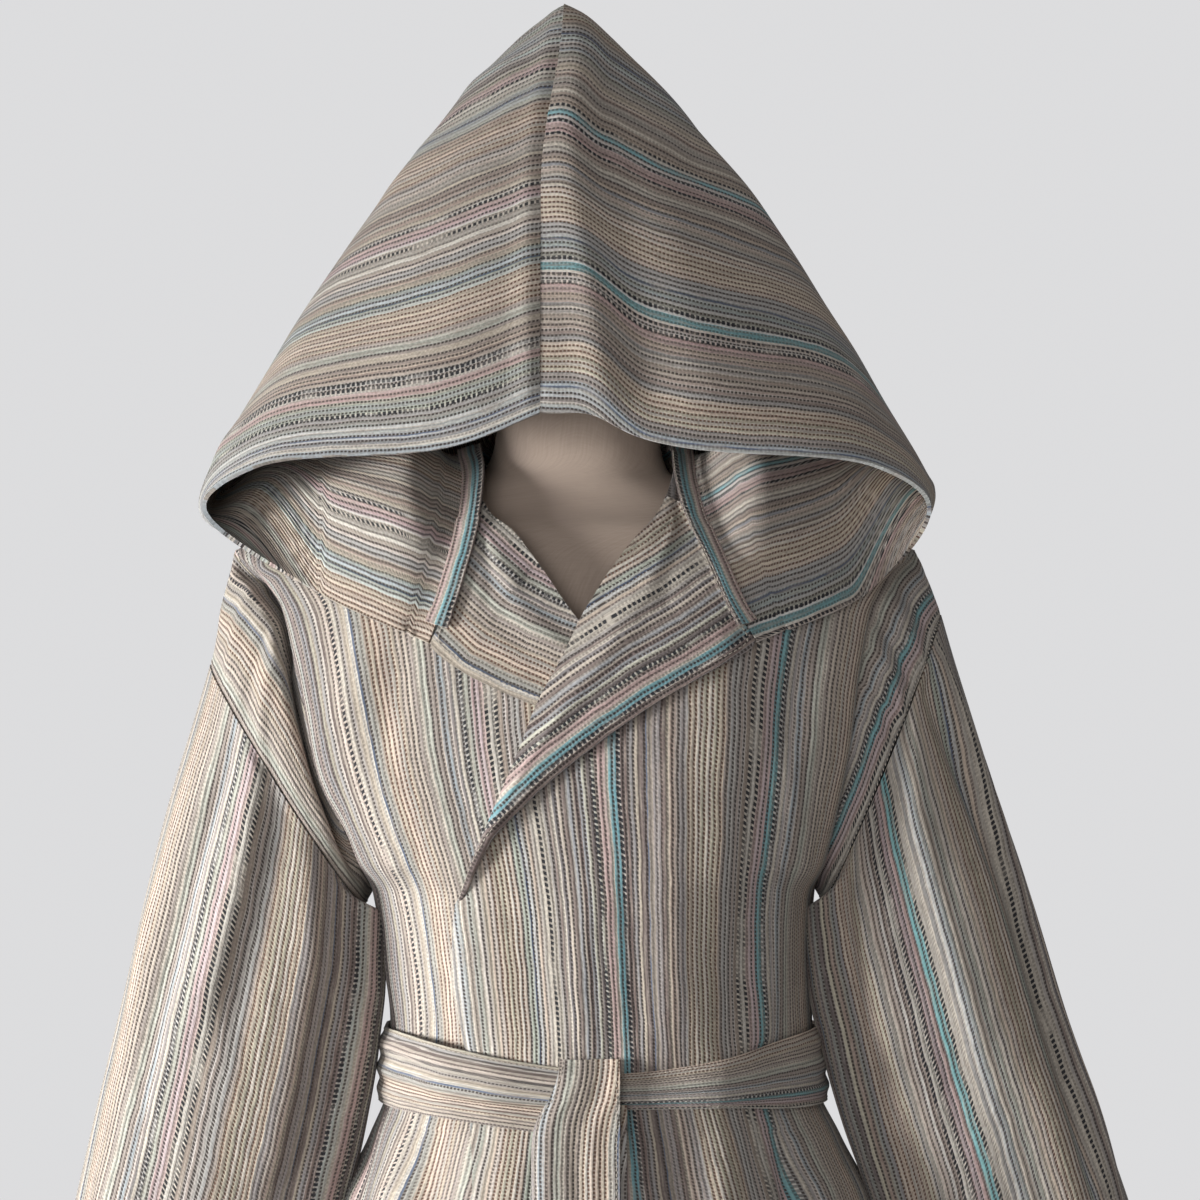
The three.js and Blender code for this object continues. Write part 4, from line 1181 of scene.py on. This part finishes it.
def front_panel(side, rows, rise, folds, anchor, chart, material):
    """A front. anchor is the share of the half width at which the chart's place lies."""
    way = WAY[side]
    grid, place, height, share = front_grid(rows, way, rise, *FRONT_GRID)
    calm = smooth(2, 30, SIDE_Y - grid[..., 1]) * (1 - smooth(1420, 1490, height))
    amount = body_folds(place, height, folds, 5 + way) * calm
    if way < 0:
        under = smooth(-100, -70, place) * smooth(1000, 1020, height)
        amount = np.minimum(amount, lerp(9, 0.5, under))
    grid = pressed(grid, amount, axis_of(grid))
    down, over = lengths(grid)
    cloth = chart + way * (round_to_side(share, over, -1, way) - across_of(anchor, -1))
    thick = hem(down[-1:] - down, over + 400 * smooth(1240, 1290, height))
    wall = {"thick": thick, "mitre": [("start", 1), ("last", 1)]}
    name = f"front_{side}"
    return sewn("robe_" + name, name, material, grid, cloth, down, axis_of(grid), **wall)


def from_lower_edge(grid, rows):
    """Distances from a lapel's lower edge, and along it, with the edge carried on straight."""
    corner = np.argmax(np.abs(rows["outer_x"] - rows["outer_x"][0]))
    edge = np.stack([rows["outer_x"], rows["outer_z"]], axis=1)[: corner + 1]
    ahead = edge[-1] - edge[-2]
    edge = np.vstack([edge, edge[-1] + 3 * ahead])
    at = run_of(edge)
    fine = np.linspace(0, at[-1], 900)
    line = at_length(fine, at, edge)
    gap = distance(grid[..., None, [0, 2]], line)
    return gap.min(axis=-1), fine[gap.argmin(axis=-1)]


def lapel(side, rows, rise, bulge, chart, material):
    """A turned-out lapel. chart is the place in the repeat of its lower edge."""
    grid, t, s = lapel_grid(rows, rise, bulge, *LAPEL_GRID)
    waves = fold(t * 300, s * 150, LAPEL_FOLDS) + ripple(t * 300, s * 150, 21, 110, 1.2)
    grid = pressed(grid, waves * smooth(0, 0.2, s) * smooth(0, 0.1, t), axis_of(grid))
    _, over = lengths(grid)
    gap, place = from_lower_edge(grid, rows)
    thick = hem(over[:, -1:] - over)
    name = f"lapel_{side}"
    return sewn("robe_" + name, name, material, grid, chart - gap, place, axis_of(grid), thick=thick)


SLEEVE_FULL_AT = 0.9 * math.pi  # round from the outer side, just before the inner one
SLEEVE_FULLNESS = 22.0  # how much fuller a sleeve is there, toward the body


def sleeve(side, rows, folds, chart, material):
    """A sleeve. chart is the place in the repeat of its outer side."""
    way = WAY[side]
    grid, t, angle = sleeve_grid(rows, *SLEEVE_GRID)
    down, over = lengths(grid, closed=True)
    round_length = float(np.mean(over[:, -1]))
    around = angle / (2 * math.pi) * round_length
    centre = grid.mean(axis=1, keepdims=True)
    calm = smooth(0, 0.05, t)
    amount = 1.5 * fold(around, down, folds) + ripple(around, down * 0.4, 31 + way, 80, 2.4)
    amount = amount + 3.0 * np.sin(3 * angle + 1.3 * way) * smooth(0.35, 1, t)
    inner = bell(angle, SLEEVE_FULL_AT, 0.35)
    amount = amount + SLEEVE_FULLNESS * inner * smooth(0, 0.07, t)
    grid = pressed(grid, amount * calm, centre, closed=True)
    down, _ = lengths(grid)
    thick = hem(down[-1:] - down)
    u = np.concatenate([around, np.full((len(around), 1), round_length)], axis=1)
    name = f"sleeve_{side}"
    wall = {"closed": True, "thick": thick}
    return sewn("robe_" + name, name, material, grid, chart - u, wrapped(down), centre, **wall)


TUCK = 25.0  # how deep the front of a band tucks in behind the panel's edge


def armhole_band(side, rows, folds, tuck, chart, material):
    """A band between the armhole and the sleeve. Its stripes run round the arm."""
    way = WAY[side]
    grid, t, angle = band_grid(rows, way, *BAND_GRID)
    down, over = lengths(grid, closed=True)
    around = over[:, :-1]
    centre = grid.mean(axis=1, keepdims=True)
    front = smooth(0.15, 0.5, np.sin(angle)) * smooth(-0.95, -0.5, np.cos(angle))
    dip = -TUCK * tuck * front * bell(down, 8, 6.5) * smooth(0, 4, down)
    amount = (fold(around, down, folds) + ripple(around, down, 41 + way, 60, 1.4)) * smooth(0, 0.2, t)
    amount = amount * (1 - smooth(0.9, 1, t)) + dip
    grid = pressed(grid, amount, centre, closed=True)
    down, over = lengths(grid, closed=True)
    u = chart + wrapped(down[-1:] - down)
    name = f"band_{side}"
    return sewn("robe_" + name, "armhole_" + name, material, grid, u, over, centre, closed=True)


HOOD_HEART = point(HOOD_X, 20, 1560)
HOOD_RUN_OFF = {1: 90.0, -1: 96.0}  # how far the stripes run off the lower edge
HOOD_RIDGE = 8.0  # height of the soft ridge beside the seam, on the left half
HOOD_HOLLOW = 5.0  # depth of the trough beyond it
HOOD_DROP = 17.0  # how far the stripes drop across the two


def hood_half(side, folds, material):
    """Half of the hood. Its stripes run level with the front edge."""
    way = WAY[side]
    t, s = grid_of(*HOOD_GRID)
    grid = hood_grid(way, *HOOD_GRID)
    down, over = lengths(grid)
    front = 1 - smooth(0.42, 0.62, t)
    beside = lerp(46, 18, smooth(0, 0.42, t))
    if way > 0:
        ridge = HOOD_RIDGE * bell(over, beside, 17) * front
        ridge = ridge - HOOD_HOLLOW * bell(over - beside, 42, 26) * front
        drop = HOOD_DROP * smooth(0, 1, (over - beside * 0.4) / (beside * 1.3 + 14)) * front
    else:
        ridge = 3.0 * bell(over, 10, 9) * front
        drop = 0 * over
    seam_pull = -2.2 * bell(over, 0, 5)
    seam_pucker = 0.5 * np.sin(down * 2 * math.pi / 13) * bell(over, 0, 8)
    upper = smooth(0, 60, over) * (1 - smooth(0.62, 0.8, s)) * smooth(0.02, 0.12, t)
    swell = fold(over, down, folds) * upper
    swell = swell + ripple(over, down, 51 + way, 120, 2.4) * upper
    edge = smooth(0, 0.06, t) * (1 - smooth(0.93, 0.99, s))
    amount = (ridge + swell) * edge + (seam_pull + seam_pucker) * smooth(0, 8, down)
    amount = amount * (1 - smooth(0.6, 0.74, s))
    grid = pressed(grid, amount, HOOD_HEART)
    runs_off = HOOD_RUN_OFF[way] * smooth(0.6, 0.82, s)
    wall = {"thick": hem(down + 3), "mitre": [("first", 0), ("end", 0)]}
    u = down + drop + runs_off
    name = f"hood_{side}"
    return sewn("robe_" + name, name, material, grid, u, over, HOOD_HEART, **wall)


# Places in the body's repeat of the tape's edge and of the belt's middle
TAPE_CHART = TEAL_A + 8.0
BELT_CHART = 204.0


def neck_tape(material):
    grid, w = tape_grid(*TAPE_GRID)
    down, _ = lengths(grid)
    centre = grid - point(0, 0, 1)
    crown = 0.8 * (1 - w**2)[None, :]
    grid = pressed(grid, np.broadcast_to(crown, grid.shape[:2]), centre)
    across = np.broadcast_to(TAPE_HALF * (1 + w), grid.shape[:2])
    middle = down[:, TAPE_GRID[1] // 2, None]
    wall = {"slot": "striped_tape", "thick": TAPE}
    u = TAPE_CHART - across
    return sewn("robe_neck_tape", "neck_tape", material, grid, u, middle, centre, **wall)


# Rolls of the belt: where each lies across it, how wide it is and how far it stands out
PLEATS_LEFT = [(0.62, 0.2, 3.6), (0.0, 0.22, 3.4), (-0.62, 0.2, 3.8)]
PLEATS_RIGHT = [(0.55, 0.22, 3.6), (-0.1, 0.2, 3.4), (-0.7, 0.2, 3.4)]


def belt_wrap(material):
    grid, k, turn = belt_grid(*BELT_GRID)
    centre = axis_of(grid)
    lean = 0.22 * np.cos(turn)
    left = sum(h * bell(k - at, lean, w) for at, w, h in PLEATS_LEFT)
    right = sum(h * bell(k - at, 0.5 * lean, w) for at, w, h in PLEATS_RIGHT)
    side = smooth(math.pi - 0.6, math.pi + 0.6, turn)
    near_knot = 1 - 0.5 * smooth(0.7, 0.95, np.cos(turn))
    pleats = lerp(left, right, side) * (1 - np.abs(k) ** 6) * near_knot
    grid = pressed(grid, pleats + ripple(turn * 170, k * 30, 61, 70, 0.8), centre)
    _, over = lengths(grid)
    u = BELT_CHART + k * BELT_HALF * 1.35 + 54 * smooth(2.2, 4.1, turn)
    return sewn("robe_belt", "belt_wrap", material, grid, u, over, centre, slot="striped_belt")


# The belt's ends: top, bottom, middle, half the width at the top and below, and rise
OVER_TAIL = (1084, TAIL_Z, -9, 22, 32, 14)
UNDER_TAIL = (1046, TAIL_Z + 30, -2, 18, 30, 10)


def belt_tail(which, shape, chart, turn_over, material):
    """A hanging end of the belt. turn_over is how far its top leans in to the knot."""
    grid = tail_grid(*shape, *TAIL_GRID)
    down, over = lengths(grid)
    curl = 9 * (1 - smooth(0, 14, down)) * turn_over
    grid[..., 1] += curl
    waves = fold(over, down, TAIL_FOLDS) + ripple(over, down * 0.3, 71, 60, 0.9)
    centre = axis_of(grid)
    grid = pressed(grid, waves * smooth(0, 10, down), centre)
    down, over = lengths(grid)
    wall = {"slot": "striped_belt", "thick": hem(down[-1:] - down, over, over[:, -1:] - over)}
    u = chart + over - over[:, -1:] / 2
    names = (f"robe_belt_end_{which}", f"belt_tail_{which}")
    return sewn(*names, material, grid, u, down, centre, **wall)


def inset(name, edge, gap):
    """The line on a piece's outer face that runs a distance inside one of its edges."""
    grid, normal, closed = FACES[name]
    if edge in ("first", "last"):
        grid, normal = grid.transpose(1, 0, 2), normal.transpose(1, 0, 2)
        closed = False
    if edge in ("end", "last"):
        grid, normal = grid[::-1], normal[::-1]
    down, _ = lengths(grid)
    columns = range(grid.shape[1])
    line = [at_length(gap, down[:, j], grid[:, j]) for j in columns]
    out = [at_length(gap, down[:, j], normal[:, j]) for j in columns]
    if closed:
        line.append(line[0])
        out.append(out[0])
    return np.array(line), unit(np.array(out))


def stitches(name, lines, material):
    """Short raised stitches along lines of the cloth, as one joined mesh."""
    verts, quads = [], []
    corners = np.array([(a, b, c) for a in (-1, 1) for b in (-1, 1) for c in (-1, 1)], float)
    sides = [(0, 1, 3, 2), (4, 6, 7, 5), (0, 4, 5, 1), (2, 3, 7, 6), (0, 2, 6, 4), (1, 5, 7, 3)]
    sides = np.array(sides)
    for line, out in lines:
        length = run_of(line)
        for at in np.arange(STITCH, length[-1] - STITCH, STITCH + STITCH_GAP):
            start, ahead = at_length(np.array([at, at + 1]), length, line)
            along_it = unit(ahead - start)
            side = unit(np.cross(at_length(at, length, out), along_it))
            up = np.cross(along_it, side)
            box = corners[:, :1] * along_it * STITCH / 2 + corners[:, 1:2] * side * THREAD
            box = box * np.where(corners[:, 2:] > 0, 0.8, 1) + corners[:, 2:] * up * THREAD
            quads.append(sides + 8 * len(verts))
            verts.append(start + up * SUNK + box)
    piece = mesh_of(name, np.concatenate(verts) * MM, np.concatenate(quads))
    return dress(piece, material, "striped_cotton")


# ---- the form and its stand


def ringed(name, rings, material, slot, node):
    """A closed solid through rings, its two ends filled level. Its map runs round and up."""
    rows, count = rings.shape[:2]
    i, j = (k.ravel() for k in np.meshgrid(np.arange(rows - 1), np.arange(count), indexing="ij"))
    corners = [(i, j), (i, j + 1), (i + 1, j + 1), (i + 1, j)]
    sides = np.stack([a * count + b % count for a, b in corners], axis=1)
    k = np.arange(count // 2 - 1)
    strip = np.stack([k, k + 1, count - 2 - k, count - 1 - k], axis=1)
    ends = [strip[:, ::-1], strip + (rows - 1) * count]
    down, over = lengths(rings, closed=True)
    up = wrapped(down)
    side_map = np.stack([np.stack([over[a, b], up[a, b]], axis=-1) for a, b in corners], axis=1)
    flat = rings.reshape(-1, 3)[:, :2]
    maps = np.concatenate([side_map, flat[ends[0]], flat[ends[1]]])
    piece = mesh_of(name, rings.reshape(-1, 3) * MM, np.concatenate([sides, *ends]), maps * MM)
    return dress(piece, material, slot, node)


def turned(profile, middle, count):
    """Rings of a turned solid, from rows of radius and height."""
    radius, z = np.array(profile, float).T[:, :, None]
    angle = turns(count)[None, :]
    return point(middle[0] + radius * np.cos(angle), middle[1] + radius * np.sin(angle), z)


def torso_rings():
    """Rings of the limbless form, close enough together for a smooth outline."""
    z = np.concatenate([np.linspace(FORM_Z, 1460, 90), np.linspace(1464, NECK_TOP_Z, 60)])[:, None]
    row = {name: along(FORM, "z", z, name) for name in FORM}
    angle = turns(144)[None, :]
    c = squarer(np.cos(angle), TORSO_POWER)
    s = squarer(np.sin(angle), TORSO_POWER)
    depth = np.where(s < 0, row["front"], row["back"])
    return point(row["shift"] + row["half"] * c, SIDE_Y + depth * s, z)


# Rows of radius and height
CAP_PROFILE = [
    (51, 0), (54, 1), (54, 5), (52.5, 7), (46, 10.5), (38, 13.8), (26, 15.8), (12, 16.8), (2, 17),
]
FOOT_PROFILE = [
    (FOOT_R - 2, 0), (FOOT_R, 1), (FOOT_R, 5), (FOOT_R - 1, 7), (FOOT_R - 6, 9), (130, 10.2),
    (60, 11.6), (40, FOOT_TOP), (20, FOOT_TOP),
]


FORM_PIECE = "form_linen_torso"


def stand(beech_wood, steel, cloth):
    bottom, top = FOOT_TOP + MEET, FORM_Z - MEET
    pole = [(POLE_R - 0.5, bottom), *((POLE_R, z) for z in np.linspace(bottom + 1, top - 1, 40))]
    pole.append((POLE_R - 0.5, top))
    cap = [(radius, NECK_TOP_Z + MEET + z) for radius, z in CAP_PROFILE]
    ringed(FORM_PIECE, torso_rings(), cloth, "linen", "form_torso")
    ringed("form_neck_cap", turned(cap, (NECK_X, SIDE_Y - 2), 64), beech_wood, "turned_wood", "form_cap")
    ringed("form_pole", turned(pole, (0, 0), 48), steel, "stand_metal", "stand_pole")
    ringed("form_foot", turned(FOOT_PROFILE, (0, 0), 128), steel, "stand_metal", "stand_foot")


# ---- camera, light and floor


BACKDROP = (0.72, 0.72, 0.73, 1)
SURROUND = (0.55, 0.53, 0.52, 1)  # the light from all round
SURROUND_STRENGTH = 0.42
FLOOR_R = 2500  # mm
FLOOR_SIDES = 96


def lamp(name, place, aim, size, power, colour, spread=math.pi):
    """A square lamp. Places and its size are in metres, and its power is in watts."""
    light = bpy.data.lights.new(name, "AREA")
    light.spread = spread
    light.size = size
    light.energy = power
    light.color = colour
    lamp_object = bpy.data.objects.new(name, light)
    lamp_object.location = place
    aim_way = np.array(aim) - np.array(place)
    flat = math.hypot(aim_way[0], aim_way[1])
    heading = math.atan2(aim_way[1], aim_way[0]) - math.pi / 2
    lamp_object.rotation_euler = (math.atan2(flat, -aim_way[2]), 0, heading)
    bpy.context.scene.collection.objects.link(lamp_object)


def set_camera():
    lens = bpy.data.cameras.new("camera")
    lens.lens = LENS
    lens.sensor_width = SENSOR
    lens.clip_end = 50
    camera = bpy.data.objects.new("camera", lens)
    camera.location = [place * MM for place in CAMERA]
    camera.rotation_euler = (math.radians(90), 0, 0)
    bpy.context.scene.collection.objects.link(camera)
    bpy.context.scene.camera = camera


def set_world():
    """A pale backdrop, with a weaker light from all round."""
    world = bpy.data.worlds.new("studio")
    world.use_nodes = True
    bpy.context.scene.world = world
    tree = world.node_tree
    backdrop = tree.nodes["Background"]
    backdrop.inputs["Color"].default_value = BACKDROP
    fill = tree.nodes.new("ShaderNodeBackground")
    fill.inputs["Color"].default_value = SURROUND
    fill.inputs["Strength"].default_value = SURROUND_STRENGTH
    seen = tree.nodes.new("ShaderNodeLightPath")
    choose = tree.nodes.new("ShaderNodeMixShader")
    tree.links.new(seen.outputs["Is Camera Ray"], choose.inputs[0])
    tree.links.new(fill.outputs[0], choose.inputs[1])
    tree.links.new(backdrop.outputs[0], choose.inputs[2])
    tree.links.new(choose.outputs[0], tree.nodes["World Output"].inputs[0])


def set_floor():
    angle = turns(FLOOR_SIDES)
    edge = point(FLOOR_R * np.cos(angle), FLOOR_R * np.sin(angle), 0 * angle) * MM
    mesh = bpy.data.meshes.new("floor")
    mesh.from_pydata([tuple(p) for p in edge], [], [tuple(range(FLOOR_SIDES))])
    floor = bpy.data.objects.new("floor", mesh)
    floor.data.materials.append(speckled("floor_paper", 3.0, 3.0, PAPER_STOPS, 0.9))
    bpy.context.scene.collection.objects.link(floor)


# ---- the whole scene

# Sewn lines: the pieces, the edges that are sewn along and how far in
SEWN = [
    ("lapel_left lapel_right", "last", 7),
    ("sleeve_left sleeve_right back front_left front_right", "end", 8),
    ("band_left band_right", "end", 3),
    ("neck_tape", "first last", 1.5),
    ("belt", "start end", 2.5),
    ("belt_end_over", "first last", 2.5),
]


def flat_rise(x, z):
    return 0 * (x + z)


def make_robe():
    """Makes the garment's pieces, and gives them by name."""
    body = cotton("striped_cotton_body", BODY_A, BODY_B)
    plain = cotton("striped_cotton_less_teal", BODY_A, BODY_B, 0.0)
    hood_left = cotton("striped_cotton_hood_left", HOOD_LEFT_A, HOOD_LEFT_B)
    hood_right = cotton("striped_cotton_hood_right", HOOD_RIGHT_A, HOOD_RIGHT_B, 0.0)
    thread = speckled("cotton_thread", 900.0, 2.0, THREAD_STOPS, 0.85)
    pieces = [
        back_panel(body),
        front_panel("left", LEFT_FRONT, left_rise, FRONT_LEFT_FOLDS, 0.111, TEAL_A, body),
        front_panel("right", RIGHT_FRONT, flat_rise, FRONT_RIGHT_FOLDS, -0.68, PEACH, plain),
        lapel("left", LEFT_LAPEL, left_rise, LEFT_ROLL, TEAL_A + 13, body),
        lapel("right", RIGHT_LAPEL, flat_rise, RIGHT_ROLL, PEACH + 27, plain),
        armhole_band("left", LEFT_SLEEVE, BAND_LEFT_FOLDS, 0.0, TEAL_B - 20, body),
        armhole_band("right", RIGHT_SLEEVE, BAND_RIGHT_FOLDS, 1.0, 204.0, plain),
        sleeve("left", LEFT_SLEEVE, SLEEVE_LEFT_FOLDS, 48.0, body),
        sleeve("right", RIGHT_SLEEVE, SLEEVE_RIGHT_FOLDS, 290.0, plain),
        hood_half("left", HOOD_LEFT_FOLDS, hood_left),
        hood_half("right", HOOD_RIGHT_FOLDS, hood_right),
        neck_tape(body),
        belt_wrap(body),
        belt_tail("over", OVER_TAIL, 226.0, 1.0, plain),
        belt_tail("under", UNDER_TAIL, 120.0, 0.0, body),
    ]
    lines = [
        inset("robe_" + name, edge, gap)
        for names, edges, gap in SEWN
        for name in names.split()
        for edge in edges.split()
    ]
    stitches("robe_stitches", lines, thread)
    return {piece.name: piece for piece in pieces}


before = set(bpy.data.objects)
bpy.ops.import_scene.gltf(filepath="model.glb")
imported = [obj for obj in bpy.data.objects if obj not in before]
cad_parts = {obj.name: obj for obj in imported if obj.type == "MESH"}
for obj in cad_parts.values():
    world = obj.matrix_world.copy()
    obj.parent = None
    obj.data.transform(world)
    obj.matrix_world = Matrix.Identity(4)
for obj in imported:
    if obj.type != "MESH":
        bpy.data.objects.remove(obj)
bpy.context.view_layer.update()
bpy.context.scene.view_settings.view_transform = "Standard"
robe = make_robe()
stand(beech("turned_beech"), brushed_steel("stand_steel"), linen("beige_linen"))
set_camera()
set_floor()
set_world()
lamp("key", (-3.0, -1.2, 1.1), (-0.2, -0.05, 1.1), 0.9, 10, (1.0, 0.99, 0.975), spread=0.64)
lamp("back", (0.3, 3.6, 1.7), (0.0, 0.0, 1.3), 2.0, 22, (1.0, 0.99, 0.985))
lamp("fill", (-1.2, -3.4, 1.6), (0.0, 0.0, 1.5), 2.2, 30, (1.0, 0.985, 0.985))
